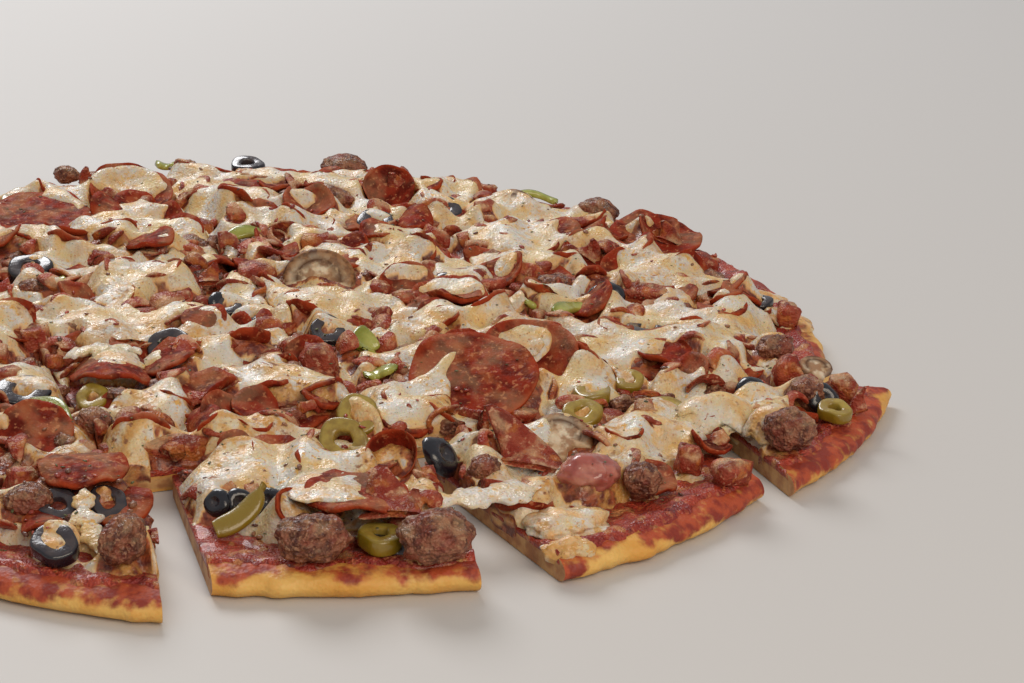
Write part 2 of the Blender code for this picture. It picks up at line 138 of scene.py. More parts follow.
def ringOf(place, radius, share):
    # points of a slice on a round, from one cut to the other
    start, end = sliceEnds(*place)[:2]
    first, last = angleOn(start, radius), angleOn(end, radius)
    if last < first:
        last += math.tau
    angle = first + (last - first) * share
    reach = radius * wobble(angle + cuts["turn"])
    return reach * np.cos(angle), reach * np.sin(angle)


def sliceGrid(place, columns, steps, rings):
    # plan grid of a slice: columns between its side cuts, steps from its inner side to the rings of the rim
    share = np.linspace(0, 1, columns)
    if place[0] in (1, 2) and place[1] in (1, 2):
        left, right, near, beyond = sliceBounds(*place)
        depth = np.linspace(0, 1, steps)
        return np.meshgrid(left + (right - left) * share, near + (beyond - near) * depth, indexing="ij")
    cornerA, cornerB = sliceEnds(*place)[2:]
    innerU = cornerA[0] + (cornerB[0] - cornerA[0]) * share
    innerV = cornerA[1] + (cornerB[1] - cornerA[1]) * share
    firstU, firstV = ringOf(place, rings[0], share)
    depth = np.linspace(0, 1, steps, endpoint=False)[None, :]
    u = innerU[:, None] + (firstU - innerU)[:, None] * depth
    v = innerV[:, None] + (firstV - innerV)[:, None] * depth
    ringU, ringV = zip(*[ringOf(place, radius, share) for radius in rings])
    return np.hstack([u, np.array(ringU).T]), np.hstack([v, np.array(ringV).T])


def trueRadius(u, v):
    # distance from the middle with the wobble of the rim taken out
    return np.hypot(u, v) / wobble(np.arctan2(v, u) + cuts["turn"])


def trueRadiusOf(place, x, y):
    restX, restY = carry(place, x, y, back=True)
    return np.hypot(restX, restY) / wobble(np.arctan2(restY, restX))


def baseTop(radius):
    share = np.clip((radius - base["bedRadius"]) / (base["crestRadius"] - base["bedRadius"]), 0, 1)
    return base["bedHeight"] + (base["crestHeight"] - base["bedHeight"]) * share


def sauceTop(radius):
    return baseTop(radius) + base["sauceGap"] + base["sauceThickness"]


# Smooth noise over arrays of plan places
def waves(x, y, size, seed):
    # from -1 to 1, with patches of about this size
    lattice = np.random.RandomState(seed).rand(128, 128) * 2 - 1
    gx, gy = np.asarray(x) / size + 40, np.asarray(y) / size + 40
    ix, iy = np.floor(gx).astype(int), np.floor(gy).astype(int)
    fx, fy = gx - ix, gy - iy
    fx, fy = fx * fx * (3 - 2 * fx), fy * fy * (3 - 2 * fy)
    a, b = lattice[ix % 128, iy % 128], lattice[(ix + 1) % 128, iy % 128]
    c, d = lattice[ix % 128, (iy + 1) % 128], lattice[(ix + 1) % 128, (iy + 1) % 128]
    return (a + (b - a) * fx) * (1 - fy) + (c + (d - c) * fx) * fy


def layeredWaves(x, y, size, seed, layers=3):
    # coarse waves with finer and weaker ones on top
    total = np.zeros(np.shape(x))
    for layer in range(layers):
        total += waves(x, y, size / 2 ** layer, seed + layer) * 0.55 ** layer
    return total


def softStep(low, high, value):
    # 0 at low, 1 at high, with soft ends; low may be above high
    share = np.clip((value - low) / (high - low), 0, 1)
    return share * share * (3 - 2 * share)


# Mesh building
def gridFaces(rows, columns, loop=False):
    # four-sided faces of a grid of points, closed round each row with loop
    index = np.arange(rows * columns).reshape(rows, columns)
    if loop:
        index = np.hstack([index, index[:, :1]])
    return np.stack([index[:-1, :-1], index[1:, :-1], index[1:, 1:], index[:-1, 1:]], -1).reshape(-1, 4)


def closedRings(count, sides):
    # faces of a stack of rings with one more point before the first and after the last
    faces = (gridFaces(count, sides, loop=True) + 1).tolist()
    last = 1 + (count - 1) * sides
    for side in range(sides):
        after = (side + 1) % sides
        faces.append([0, 1 + side, 1 + after])
        faces.append([last + sides, last + after, last + side])
    return faces


def makePiece(name, points, faces, masks=None, smooth=True):
    # a mesh object from millimetre points, with one mask attribute for each entry of masks
    mesh = bpy.data.meshes.new(name)
    mesh.from_pydata((np.asarray(points) * mm).tolist(), [], [list(map(int, face)) for face in faces])
    for maskName, values in (masks or {}).items():
        layer = mesh.attributes.new(maskName, "FLOAT", "POINT")
        layer.data.foreach_set("value", np.asarray(values, dtype=np.float32))
    if smooth:
        mesh.shade_smooth()
    piece = bpy.data.objects.new(name, mesh)
    bpy.context.scene.collection.objects.link(piece)
    return piece


def cleanPiece(piece):
    # merges points that meet and turns all faces outward
    shape = bmesh.new()
    shape.from_mesh(piece.data)
    bmesh.ops.remove_doubles(shape, verts=shape.verts[:], dist=0.01 * mm)
    bmesh.ops.dissolve_degenerate(shape, edges=shape.edges[:], dist=0.005 * mm)
    bmesh.ops.recalc_face_normals(shape, faces=shape.faces[:])
    shape.to_mesh(piece.data)
    shape.free()


def joinShapes(shapes):
    # several (points, faces, masks) as one
    points, faces, masks, start = [], [], {}, 0
    for shapePoints, shapeFaces, shapeMasks in shapes:
        points.append(shapePoints)
        faces.extend([[int(corner) + start for corner in face] for face in shapeFaces])
        for name, values in shapeMasks.items():
            masks.setdefault(name, []).append(values)
        start += len(shapePoints)
    return np.vstack(points), faces, {name: np.concatenate(values) for name, values in masks.items()}


ceiling = {"start": 23.0, "room": 5.4}


def belowCeiling(z):
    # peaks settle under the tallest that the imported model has
    start, room = ceiling["start"], ceiling["room"]
    return np.where(z > start, start + room * np.tanh((z - start) / room), z)


def placing(x, y, z, turn=0, lean=0, leanAngle=0):
    # turned about Z, then tipped over towards a compass angle
    axis = Vector((-math.sin(math.radians(leanAngle)), math.cos(math.radians(leanAngle)), 0))
    tipped = Matrix.Rotation(math.radians(lean), 4, axis) @ Matrix.Rotation(math.radians(turn), 4, "Z")
    return np.array(Matrix.Translation((x, y, z)) @ tipped)


def placed(points, place):
    points = points @ place[:3, :3].T + place[:3, 3]
    points[:, 2] = belowCeiling(points[:, 2])
    return points


def turnedShape(profile, sides):
    # closed shape turned about Z; the profile's first and last points lie on the axis
    angle = np.linspace(0, math.tau, sides, endpoint=False)
    rings = np.array([[r * np.cos(angle), r * np.sin(angle), np.full(sides, z)] for r, z in profile[1:-1]])
    rings = rings.transpose(0, 2, 1).reshape(-1, 3)
    points = np.vstack([[(0, 0, profile[0][1])], rings, [(0, 0, profile[-1][1])]])
    return points, closedRings(len(profile) - 2, sides)


def sweptShape(path, widths, heights, sides=12, square=2.0, upward=(0, 0, 1)):
    # tube along a path with a rounded cross-section; square above 2 makes it boxier
    path = np.asarray(path, float)
    along = np.gradient(path, axis=0)
    along /= np.linalg.norm(along, axis=1)[:, None]
    side = np.cross(along, np.asarray(upward, float))
    side /= np.linalg.norm(side, axis=1)[:, None]
    over = np.cross(side, along)
    angle = np.linspace(0, math.tau, sides, endpoint=False)
    flatX = np.sign(np.cos(angle)) * np.abs(np.cos(angle)) ** (2 / square)
    flatY = np.sign(np.sin(angle)) * np.abs(np.sin(angle)) ** (2 / square)
    widths, heights = np.broadcast_to(widths, len(path)), np.broadcast_to(heights, len(path))
    points = (path[:, None] + side[:, None] * (widths[:, None] / 2 * flatX)[..., None]
              + over[:, None] * (heights[:, None] / 2 * flatY)[..., None]).reshape(-1, 3)
    faces = gridFaces(len(path), sides, loop=True).tolist()
    points = np.vstack([points, path[:1], path[-1:]])
    for index in range(sides):
        after = (index + 1) % sides
        last = (len(path) - 1) * sides
        faces.append([len(points) - 2, after, index])
        faces.append([len(points) - 1, last + index, last + after])
    return points, faces


def roundBall(level):
    ball = bmesh.new()
    bmesh.ops.create_icosphere(ball, subdivisions=level, radius=1)
    points = np.array([corner.co[:] for corner in ball.verts])
    faces = [[corner.index for corner in face.verts] for face in ball.faces]
    ball.free()
    return points, faces


balls = {level: roundBall(level) for level in (1, 2, 3, 4, 5)}


def noiseAt(points, scale, seed):
    # smooth noise at points in space
    shift = Vector((seed * 3.7, seed * 1.3, seed * 7.1))
    return np.array([noise.noise(Vector(point) * scale + shift) for point in points])


# Pepperoni slices
pepperoni = {
    "thickness": 1.8, "sides": 72,
    # node or None, x, y, z, radius, lean, lean angle, cup (edge rise), bend (degrees), bend angle
    "slices": [
        ("pepperoni_centre", 76, -65, 17, 22, 26, -92, 1.0, 22, 60),
        ("pepperoni_centre_right", 95, -47, 17.0, 18, 38, -82, 2.0, -85, 10),
        ("pepperoni_arched", -47, -69, 16.5, 17, -6, -100, 0.5, 115, 5),
        ("pepperoni_back_left", -106, 102, 14, 23, 8, -90, 1.5, 20, 60),
        ("pepperoni_front_left", -40, -160, 20, 14, 3, 90, -0.5, 25, 90),
        ("pepperoni_front", 44, -172, 20.2, 16, -4, -150, -0.3, 22, 15),
        (None, -74, 135, 15, 17, 24, -60, 4.0, 0, 0), (None, -53, 13, 12, 22, 4, -90, 1.5, 15, 40),
        (None, 34, 153, 16, 11, 48, -90, 4.0, 40, 90), (None, 10, -88, 13, 21, 8, -90, 0.5, 25, 0),
        (None, 65, 16, 14, 15, 20, -95, 3.0, 30, 90), (None, 48, 32, 14, 11, 30, -80, 3.0, 30, 0),
        (None, 92, 48, 12, 19, 8, -90, 1.5, 0, 0), (None, 121, 82, 13, 14, 22, -70, 2.0, 0, 0),
        (None, 146, 107, 13, 19, 10, -80, 2.0, 20, 50), (None, 147, -30, 13, 19, 10, -80, 1.0, 25, 30),
        (None, -46, -168, 13, 11, 20, -90, 1.0, 60, 0), (None, -27, -172, 13, 10, 10, -90, 0.5, 40, 90),
        (None, -62, -124, 15, 12, 30, -80, 2.0, 40, 30), (None, -113, 60, 12, 20, 6, -60, 2.0, 0, 0),
        (None, -150, -40, 13, 20, 10, -60, 2.5, 0, 0), (None, -150, 20, 13, 19, 12, -120, 2.0, 15, 0),
        (None, -128, -100, 13, 20, 12, -80, 2.5, 0, 0), (None, -20, 158, 13, 17, 8, -90, 2.0, 0, 0),
        (None, 53, -134, 14.5, 8.5, 52, -95, 7.0, -60, 0),
    ],
}


def pepperoniShape(spec, seed, sides=None, rings=12):
    x, y, z, radius, lean, leanAngle, cup, bend, bendAngle = spec[1:]
    half = pepperoni["thickness"] / 2
    share = np.linspace(0, 1, rings)[1:] ** 0.8
    profile = [(0, half)] + [(radius * s, half) for s in share[:-1] * 0.97]
    profile += [(radius * 0.985, half * 0.8), (radius, half * 0.2), (radius * 0.99, -half * 0.7)]
    profile += [(radius * s, -half) for s in share[::-1][1:] * 0.97] + [(0, -half)]
    points, faces = turnedShape(profile, sides or pepperoni["sides"])
    angle = np.arctan2(points[:, 1], points[:, 0])
    out = np.hypot(points[:, 0], points[:, 1]) / radius
    uneven = 1 + 0.022 * np.sin(2 * angle + seed) + 0.014 * np.sin(5 * angle + 2 * seed)
    points[:, :2] *= uneven[:, None]
    points[:, 2] += cup * out ** 4 + 0.06 * radius * np.sin(3 * angle + seed) * out ** 3
    points[:, 2] += 0.035 * radius * np.sin(7 * angle + 3 * seed) * out ** 4
    points[:, 2] += 0.35 * noiseAt(points, 0.35, seed)
    if bend:
        way = math.radians(bendAngle)
        run = points[:, 0] * math.cos(way) + points[:, 1] * math.sin(way)
        curve = 2 * radius / math.radians(bend)
        points[:, 2] += curve * (np.cos(run / curve) - 1) + 0.3 * curve * (1 - math.cos(radius / curve))
        shift = curve * np.sin(run / curve) - run
        points[:, 0] += shift * math.cos(way)
        points[:, 1] += shift * math.sin(way)
    return placed(points, placing(x, y, z, 0, lean, leanAngle)), faces, {"rim": softStep(0.82, 1.0, out)}


# Sausage lumps
sausage = {
    # node or None, x, y, z (None sits on the cheese), length, width, height, turn
    "lumps": [
        ("sausage_front", 33, -196, 15.5, 21, 17, 14, 0),
        ("sausage_front_right", 69, -194, 16.5, 22, 18, 16, 20),
        ("sausage_front_left", -21, -203, 16, 13, 17, 15, -20),
        ("sausage_right", 181, -100, 16, 17, 14, 14, 10), (None, 7, 142, None, 25, 16, 12, 10),
        (None, 12, 190, None, 20, 14, 12, 0), (None, 123, 138, None, 18, 12, 12, -20),
        (None, 56, 65, None, 9, 8, 7, 0), (None, 104, 42, None, 16, 13, 10, 15),
        (None, 184, -17, None, 15, 12, 10, 40), (None, -64, -20, None, 24, 16, 10, 20),
        (None, 82, -137, None, 11, 10, 10, 0), (None, 131, -142, None, 10, 12, 12, 70),
        (None, 191, -61, None, 14, 12, 11, 0), (None, -46, -110, None, 12, 11, 10, 0),
        (None, -90, 15, None, 13, 12, 10, 30), (None, -54, -174, None, 16, 13, 11, 20),
        (None, -107, 168, None, 11, 9, 8, 0), (None, -92, 158, None, 15, 11, 9, 0),
        (None, -57, 186, None, 10, 8, 7, 0), (None, -150, 95, None, 18, 14, 11, 50),
        (None, -180, -10, None, 17, 14, 11, 100), (None, -120, -20, None, 20, 15, 11, 30),
        (None, -90, -140, None, 16, 13, 11, 0),
    ],
    "rough": 0.17, "crags": 0.12,
}
cheeseLevel = 10.6   # where toppings without a height of their own lie


def sausageShape(spec, seed, level=4, ragged=1.0):
    x, y, z, length, width, height, turn = spec[1:]
    unit, faces = balls[level]
    swell = 1 + ragged * sausage["rough"] * noiseAt(unit, 1.5, seed)
    swell += ragged * sausage["crags"] * noiseAt(unit, 3.6, seed + 5)
    swell += 0.05 * noiseAt(unit, 8.0, seed + 9)
    points = unit * swell[:, None] * np.array([length, width, height]) / 2
    z = cheeseLevel + 0.3 * height if z is None else z
    return placed(points, placing(x, y, z, turn)), faces, {}


# Olive slices
olives = {
    "thickness": 5.4, "hole": 0.36, "sides": 36, "lift": 1.4,
    # x, y, radius, lean, lean angle
    "black": [
        (-97, 41, 8, 20, -90), (-31, 192, 7, 10, -90), (57, 137, 8.5, 18, -80), (31, 112, 8.5, 20, -90),
        (22, -17, 7, 25, -60), (138, -1, 8, 2, -60),
        (182, 34, 5.5, 6, -90), (-32, -38, 7.5, 35, -120),
        (-45, -176, 6.5, 25, -90), (-31, -173, 6.5, 25, -70),
        (-17, 7, 6, 20, -60), (-8, -4, 6, 15, -90), (-74, -86, 9, 15, -60), (-165, 60, 8, 10, 0),
        (-140, -70, 8, 15, -90),
    ],
    "green": [
        (-62, 96, 6.5, 20, -90), (-76, 10, 6, 25, -90), (36, -119, 8, 45, -95), (39, -97, 7.5, 40, -90),
        (117, -66, 7.0, 2, -90), (130, -55, 5, 20, -90), (113, -87, 6.5, 25, -90),
        (141.5, -80, 6.5, 15, -100), (199, -74, 5.6, 12, -90), (52, -187, 7.0, 0, -90),
        (-50, -89, 6, 20, -90), (-120, 128, 7, 15, -90), (-170, 20, 7, 10, 0),
    ],
    # the free one: x, y, z, radius, lean, lean angle
    "front": (-41, -203, 13.5, 7, 22, -90), "frontThickness": 5.0,
    # a dark slice of skin, made as a pepper strip is
    "skin": (60, -192, 24, 8, -12, 0.5, 3, 15),
    # end slices: x, y, radius, lean, lean angle
    "caps": [
        (63, 40, 6, 60, -90), (124, 31, 7.5, 65, -110), (67, -127, 7.5, 50, -20), (1.5, -168, 4.6, 60, -120),
        (-20, 8, 5.5, 60, -40), (172, -60, 6, 50, -90), (196, -64, 6, 55, -80), (8, -167, 4.6, 60, -70),
        (17, -166, 5, 55, -100),
    ],
}


def oliveShape(x, y, z, radius, lean, leanAngle, seed, thickness):
    sides, around = olives["sides"], 18
    inner = radius * olives["hole"]
    middle, reach = (radius + inner) / 2, (radius - inner) / 2
    turn = np.linspace(0, math.tau, around, endpoint=False)
    flatX = np.sign(np.cos(turn)) * np.abs(np.cos(turn)) ** 0.4
    flatZ = np.sign(np.sin(turn)) * np.abs(np.sin(turn)) ** 0.4
    angle = np.linspace(0, math.tau, sides, endpoint=False)[:, None]
    wide = middle + reach * flatX[None, :]
    wide = wide * (1 + 0.09 * np.sin(2 * angle + seed) + 0.035 * np.sin(5 * angle + seed))
    high = thickness / 2 * flatZ[None, :] + 0.35 * np.sin(2 * angle + 2 * seed)
    points = np.stack([wide * np.cos(angle), wide * np.sin(angle), high + 0 * angle], -1).reshape(-1, 3)
    index = gridFaces(sides, around, loop=True)
    close = gridFaces(2, around, loop=True)
    close = np.where(close < around, close + (sides - 1) * around, close - around)
    skin = np.broadcast_to(softStep(0.55, 0.85, flatX), (sides, around)).reshape(-1)
    faces = np.vstack([index, close]).tolist()
    return placed(points, placing(x, y, z, 0, lean, leanAngle)), faces, {"skin": skin}


def oliveCapShape(x, y, z, radius, lean, leanAngle, seed):
    unit, faces = balls[3]
    points = unit * np.array([radius, radius * 0.95, radius * 0.6])
    points[:, 2] = np.where(unit[:, 2] < 0, points[:, 2] * 0.35, points[:, 2])
    hollow = np.exp(-(unit[:, 0] ** 2 + unit[:, 1] ** 2) / 0.12) * (unit[:, 2] > 0)
    points[:, 2] -= 0.55 * radius * hollow
    points *= (1 + 0.16 * noiseAt(unit, 1.4, seed))[:, None]
    return placed(points, placing(x, y, z, 0, lean, leanAngle)), faces, {"skin": 1 - hollow}


# Pepper strips, bowed
peppers = {
    # x, y, length, width, turn, lift, bow, roll
    "strips": [
        (-21, 89, 16, 6, 30, 3, 3, 25), (-6, 104, 12, 8, -20, 2, 2, 10), (111, 14, 21, 6, 55, 4, 2, 20),
        (99, 20, 12, 7, 10, 3, 2, 10), (38, -30, 13, 10, 80, 4, 3, 35), (44, -57, 10, 7, 10, 3, 2, 0),
        (10, -8, 12, 4, 50, 2, 4, 10), (-62, -109, 22, 7, -45, 5, 3, 30),
        (97, 160, 18, 4, -5, 2, 4, 0), (-85, 29, 9, 4, 40, 3, 1, 0), (-67, 190, 9, 6, 0, 2, 1, 0),
        (-130, 60, 16, 6, -30, 2, 3, 0),
    ],
    "thickness": 2.6,
}


def pepperShape(spec, seed):
    x, y, length, width, turn, lift, bow, roll = spec
    run = np.linspace(-1, 1, 26)
    path = np.stack([run * length / 2, bow * (1 - run ** 2), 1.2 * np.sin(run * 2 + seed)], -1)
    taper = np.sqrt(np.clip(1 - np.abs(run) ** 16, 0.06, 1)) * (1 + 0.12 * np.sin(4 * run + seed))
    tilt = math.radians(roll)
    points, faces = sweptShape(path, width * taper, peppers["thickness"] * taper, 16, 3.6,
                               (0, -math.sin(tilt), math.cos(tilt)))
    skin = softStep(-0.2, 0.3, (points[:, 1] - bow * (1 - (points[:, 0] * 2 / length) ** 2)) / width)
    return placed(points, placing(x, y, cheeseLevel + lift, turn)), faces, {"skin": skin}


# Mushroom slices
mushrooms = {
    # x, y, lift, length, turn, lean
    "slices": [(14, 40, 3, 28, 0, 70), (86, 139, 3, 24, -25, 28), (106, -107, 1.6, 22, -15, 34),
               (196, -38, 3, 13, 20, 30), (-140, 120, 3, 22, 40, 15)],
    "thickness": 5.0,
}


def mushroomShape(spec, seed):
    x, y, lift, length, turn, lean = spec
    cap = [(length / 2 * math.cos(a), length * 0.42 * math.sin(a))
           for a in np.linspace(-0.25, math.pi + 0.25, 34)]
    stemWide, stemLong = length * 0.15, length * 0.34
    stem = [(stemWide * 0.6, -stemLong - 1), (stemWide * 1.05, -stemLong), (stemWide, -4),
            (stemWide * 1.6, -2.2)]
    outline = np.array(cap + [(-x, y) for x, y in stem[::-1]] + stem)
    centre = np.array([0, length * 0.04])
    half = mushrooms["thickness"] / 2
    levels = [(0.0, half), (0.3, half), (0.6, half), (0.8, half), (0.92, half * 0.95), (1.0, half * 0.55),
              (1.0, -half * 0.55), (0.92, -half * 0.95), (0.7, -half), (0.4, -half), (0.0, -half)]
    sides = len(outline)
    rings = [np.column_stack([centre + (outline - centre) * s, np.full(sides, z)]) for s, z in levels[1:-1]]
    points = np.vstack([[(*centre, half)]] + rings + [[(*centre, -half)]])
    points[:, 2] += 0.8 * np.sin(points[:, 0] * 0.25 + seed)
    faces = closedRings(len(rings), sides)
    reach = np.hypot(points[:, 0] / (length / 2), points[:, 1] / (length * 0.42))
    capSkin = softStep(0.74, 0.86, reach) * (points[:, 1] > -1.5)
    gills = softStep(0.5, 0.6, reach) * (1 - softStep(0.68, 0.76, reach)) * (points[:, 1] > -1)
    return (placed(points, placing(x, y, cheeseLevel + lift, turn) @ placing(0, 0, 0, 0, lean, -90)), faces,
            {"skin": capSkin, "gills": gills})


# Ham and bacon pieces
ham = {
    # x, y, length, width, height, turn
    "pieces": [
        (-64, 159, 14, 7, 5, 35), (-51, 112, 9, 7, 5, 0), (-49, 142, 16, 5, 5, 55),
        (-25, 110, 12, 8, 4, 30), (-10, 44, 14, 12, 8, 20), (-39, 67, 14, 8, 5, -25),
        (-54, 63, 12, 6, 5, 0), (-72, 56, 10, 8, 6, 0), (75, 172, 12, 5, 4, -30), (9, 87, 14, 9, 6, -10),
        (115, 123, 14, 8, 6, -10), (139, 36, 22, 8, 7, -10), (166, 23, 14, 6, 5, -25),
        (163, 75, 13, 8, 7, 0), (192, 22, 8, 9, 7, 0), (1, -20, 9, 9, 8, 0), (11, -36, 9, 10, 7, 30),
        (22, -52, 12, 12, 11, 0), (35, 3, 11, 6, 5, 10), (134, -85, 8, 8, 7, 20), (139, -96, 13, 6, 5, 0),
        (-60, -157, 10, 8, 6, 40), (2, -158, 10, 6, 5, 0), (48, -157, 9, 6, 10, 20),
        (186, -40, 10, 9, 8, 0), (204, -54, 11, 9, 7, 0), (-9, -72, 20, 13, 6, 60),
        (-19, -125, 27, 9, 5, 12), (155, -88, 11, 8, 6, 30), (-80, 166, 8, 7, 6, 0),
        (-100, -60, 14, 8, 6, 50), (-165, -60, 15, 8, 6, 0), (-110, -160, 12, 8, 6, 20),
        (32, 82, 9, 6, 4, 0), (52, 112, 9, 6, 5, 20), (54, 87, 6, 10, 5, 0), (74, 93, 12, 5, 4, -20),
        (-86, -8, 14, 10, 6, 30), (-80, -32, 9, 14, 7, 0), (-92, -52, 12, 9, 6, 0), (-22, -20, 10, 6, 4, 0),
        (-7, -41, 12, 7, 4, 20), (160, -128, 13, 9, 6, 40), (147, -120, 9, 7, 6, 0),
        (-150, 55, 12, 8, 6, 70), (-175, 50, 9, 8, 6, 0), (-30, 178, 10, 7, 5, 0),
    ],
    "glossy": (114, -142, 16, 19, 15, 12, 0),
}


def hamShape(spec, seed, boxy=0.62, level=3):
    x, y, z, length, width, height, turn = spec
    unit, faces = balls[level]
    points = np.sign(unit) * np.abs(unit) ** boxy
    fold = np.abs(noiseAt(unit, 1.9, seed + 4))
    rough = 0.94 + 0.30 * noiseAt(unit, 1.3, seed) + 0.30 * fold + 0.07 * noiseAt(unit, 4.5, seed + 3)
    points = points * rough[:, None] * np.array([length, width, height]) / 2
    tone = np.clip(0.5 + 0.9 * noiseAt(unit, 1.1, seed + 7), 0, 1)
    crisp = softStep(0.3, 0.9, points[:, 2] / height * 2) * softStep(0.5, 1.1, np.abs(unit).max(1))
    return placed(points, placing(x, y, z, turn, 8, seed * 50)), faces, {"tone": tone, "crisp": crisp}


# Shreds of sliced meat: crinkled, curled strips
shreds = {"thickness": 1.9, "sides": 8, "steps": 13}


def shredShape(x, y, z, length, width, turn, curl, roll, seed, lean=0, leanAngle=0):
    run = np.linspace(-1, 1, shreds["steps"])
    arc = run * curl
    path = np.stack([length / 2 * np.sin(arc) / curl, 0.13 * length * np.sin(2.4 * run + seed),
                     length / 2 * (np.cos(arc) - np.cos(curl)) / curl], -1)
    taper = np.sqrt(np.clip(1 - np.abs(run) ** 5, 0.04, 1)) * (1 + 0.28 * np.sin(3.3 * run + 2 * seed))
    tilt = math.radians(roll)
    points, faces = sweptShape(path, width * taper, shreds["thickness"] * taper ** 0.3, shreds["sides"], 3.0,
                               (0, -math.sin(tilt), math.cos(tilt)))
    points = points + 0.5 * noiseAt(points, 0.3, seed)[:, None] * np.array([0.5, 0.5, 1.0])
    ends = softStep(0.55, 1.0, np.hypot(points[:, 0] / (length / 2), points[:, 1] / (width * 0.6)) * 0.8)
    tone = np.full(len(points), 0.5 + 0.5 * math.sin(seed * 12.9))
    return (placed(points, placing(x, y, z, turn, lean, leanAngle)), faces,
            {"tone": tone, "crisp": ends, "rim": ends})


def flapShape(x, y, z, width, height, turn, lean, skew, seed):
    # pointed fold of sliced meat standing up
    run = np.linspace(0, 1, 16)
    path = np.stack([0.16 * width * np.sin(3 * run + seed), 0.12 * width * np.sin(4 * run), height * run], -1)
    points, faces = sweptShape(path, width * (1 - 0.86 * run ** 1.2), flaps["thickness"], 16, 3.5, (0, 1, 0))
    points[:, 1] += 0.016 * points[:, 0] ** 2 + 0.7 * noiseAt(points, 0.25, seed)
    points[:, 0] += skew * points[:, 2]
    rim = softStep(0.72, 0.98, np.abs(points[:, 0]) / (width / 2) + points[:, 2] / height * 0.9)
    return (placed(points, placing(x, y, z, turn) @ placing(0, 0, 0, 0, lean, 90)), faces,
            {"tone": np.full(len(points), 0.6), "crisp": rim * 0.8, "rim": rim})


flaps = {
    # x, y, z, width, height, turn, lean, skew
    "standing": [
        (95, -131, 12.5, 24, 23, 8, 52, -0.35), (52, -184, 19, 19, 19, -8, 60, 0),
        (208, -66, 9, 7, 9, 0, 20, 0.3), (64, -182, 14, 15, 12, 25, 55, 0), (145, 102, 12, 14, 8, 0, 50, 0),
        (119, 80, 12, 13, 8, 0, 50, 0), (150, 100, 14, 12, 9, 10, 30, 0), (38, 150, 13, 16, 11, 5, 25, 0),
        (-93, 150, 13, 10, 9, 30, 20, 0), (30, 66, 12, 9, 8, -20, 30, 0), (-26, 36, 12, 10, 8, 20, 40, 0),
        (118, 78, 13, 12, 8, 0, 30, 0),
    ],
    "thickness": 2.4,
}

# All toppings as shapes
freeShapes = {}
kindShapes = {kind: [] for kind in ("pepperoniSlices", "sausageLumps", "blackOlives", "greenOlives",
                                    "pepperStrips", "mushroomSlices", "hamPieces")}


def keepShape(node, kind, shape):
    # a free topping keeps its node's name, and the others join their kind
    if node:
        freeShapes[node] = shape
    else:
        kindShapes[kind].append(shape)


for seed, spec in enumerate(pepperoni["slices"], 1):
    keepShape(spec[0], "pepperoniSlices", pepperoniShape(spec, seed))
for seed, spec in enumerate(sausage["lumps"], 1):
    keepShape(spec[0], "sausageLumps", sausageShape(spec, seed, 5 if spec[0] else 4))
for kind in ("black", "green"):
    for seed, (x, y, radius, lean, leanAngle) in enumerate(olives[kind], 1):
        z = cheeseLevel + olives["lift"] + lean / 25
        thick = min(olives["thickness"], 0.75 * radius)
        kindShapes[kind + "Olives"].append(oliveShape(x, y, z, radius, lean, leanAngle, seed, thick))
for seed, (x, y, radius, lean, leanAngle) in enumerate(olives["caps"], 1):
    kindShapes["blackOlives"].append(oliveCapShape(x, y, cheeseLevel + 2.2, radius, lean, leanAngle, seed))
kindShapes["blackOlives"].append(pepperShape(olives["skin"], 5))
freeShapes["olive_front_left"] = oliveShape(*olives["front"], 3, olives["frontThickness"])
for seed, spec in enumerate(peppers["strips"], 1):
    kindShapes["pepperStrips"].append(pepperShape(spec, seed))
for seed, spec in enumerate(mushrooms["slices"], 1):
    kindShapes["mushroomSlices"].append(mushroomShape(spec, seed))
for seed, (x, y, length, width, height, turn) in enumerate(ham["pieces"], 1):
    z = cheeseLevel + height / 2 - 1.5
    kindShapes["hamPieces"].append(hamShape((x, y, z, length, width, height + 3, turn), seed))
freeShapes["salami_glossy"] = sausageShape((None, *ham["glossy"]), 21)
print("toppings shaped:", sum(map(len, kindShapes.values())) + len(freeShapes))

# How high the toppings stand over the plan, on a raster, and the cheese that drapes over them
raster = {"reach": 245.0, "step": 0.8}
cells = int(2 * raster["reach"] / raster["step"]) + 1
axisPlaces = np.linspace(-raster["reach"], raster["reach"], cells)
rasterX, rasterY = np.meshgrid(axisPlaces, axisPlaces, indexing="ij")


def blurred(grid, softness):
    reach = int(3 * softness / raster["step"]) + 1
    weights = np.exp(-0.5 * (np.arange(-reach, reach + 1) * raster["step"] / softness) ** 2)
    weights /= weights.sum()
    for axis in (0, 1):
        padded = np.pad(grid, [(reach, reach) if a == axis else (0, 0) for a in (0, 1)], mode="edge")
        grid = sum(weight * np.take(padded, range(k, k + cells), axis) for k, weight in enumerate(weights))
    return grid


def sampled(grid, x, y):
    # a raster's values at any places in plan
    gx = np.clip((np.asarray(x) + raster["reach"]) / raster["step"], 0, cells - 1.001)
    gy = np.clip((np.asarray(y) + raster["reach"]) / raster["step"], 0, cells - 1.001)
    ix, iy = gx.astype(int), gy.astype(int)
    fx, fy = gx - ix, gy - iy
    return ((grid[ix, iy] * (1 - fx) + grid[ix + 1, iy] * fx) * (1 - fy)
            + (grid[ix, iy + 1] * (1 - fx) + grid[ix + 1, iy + 1] * fx) * fy)


sauceLevel = 7.0
heights = np.full((cells, cells), sauceLevel)


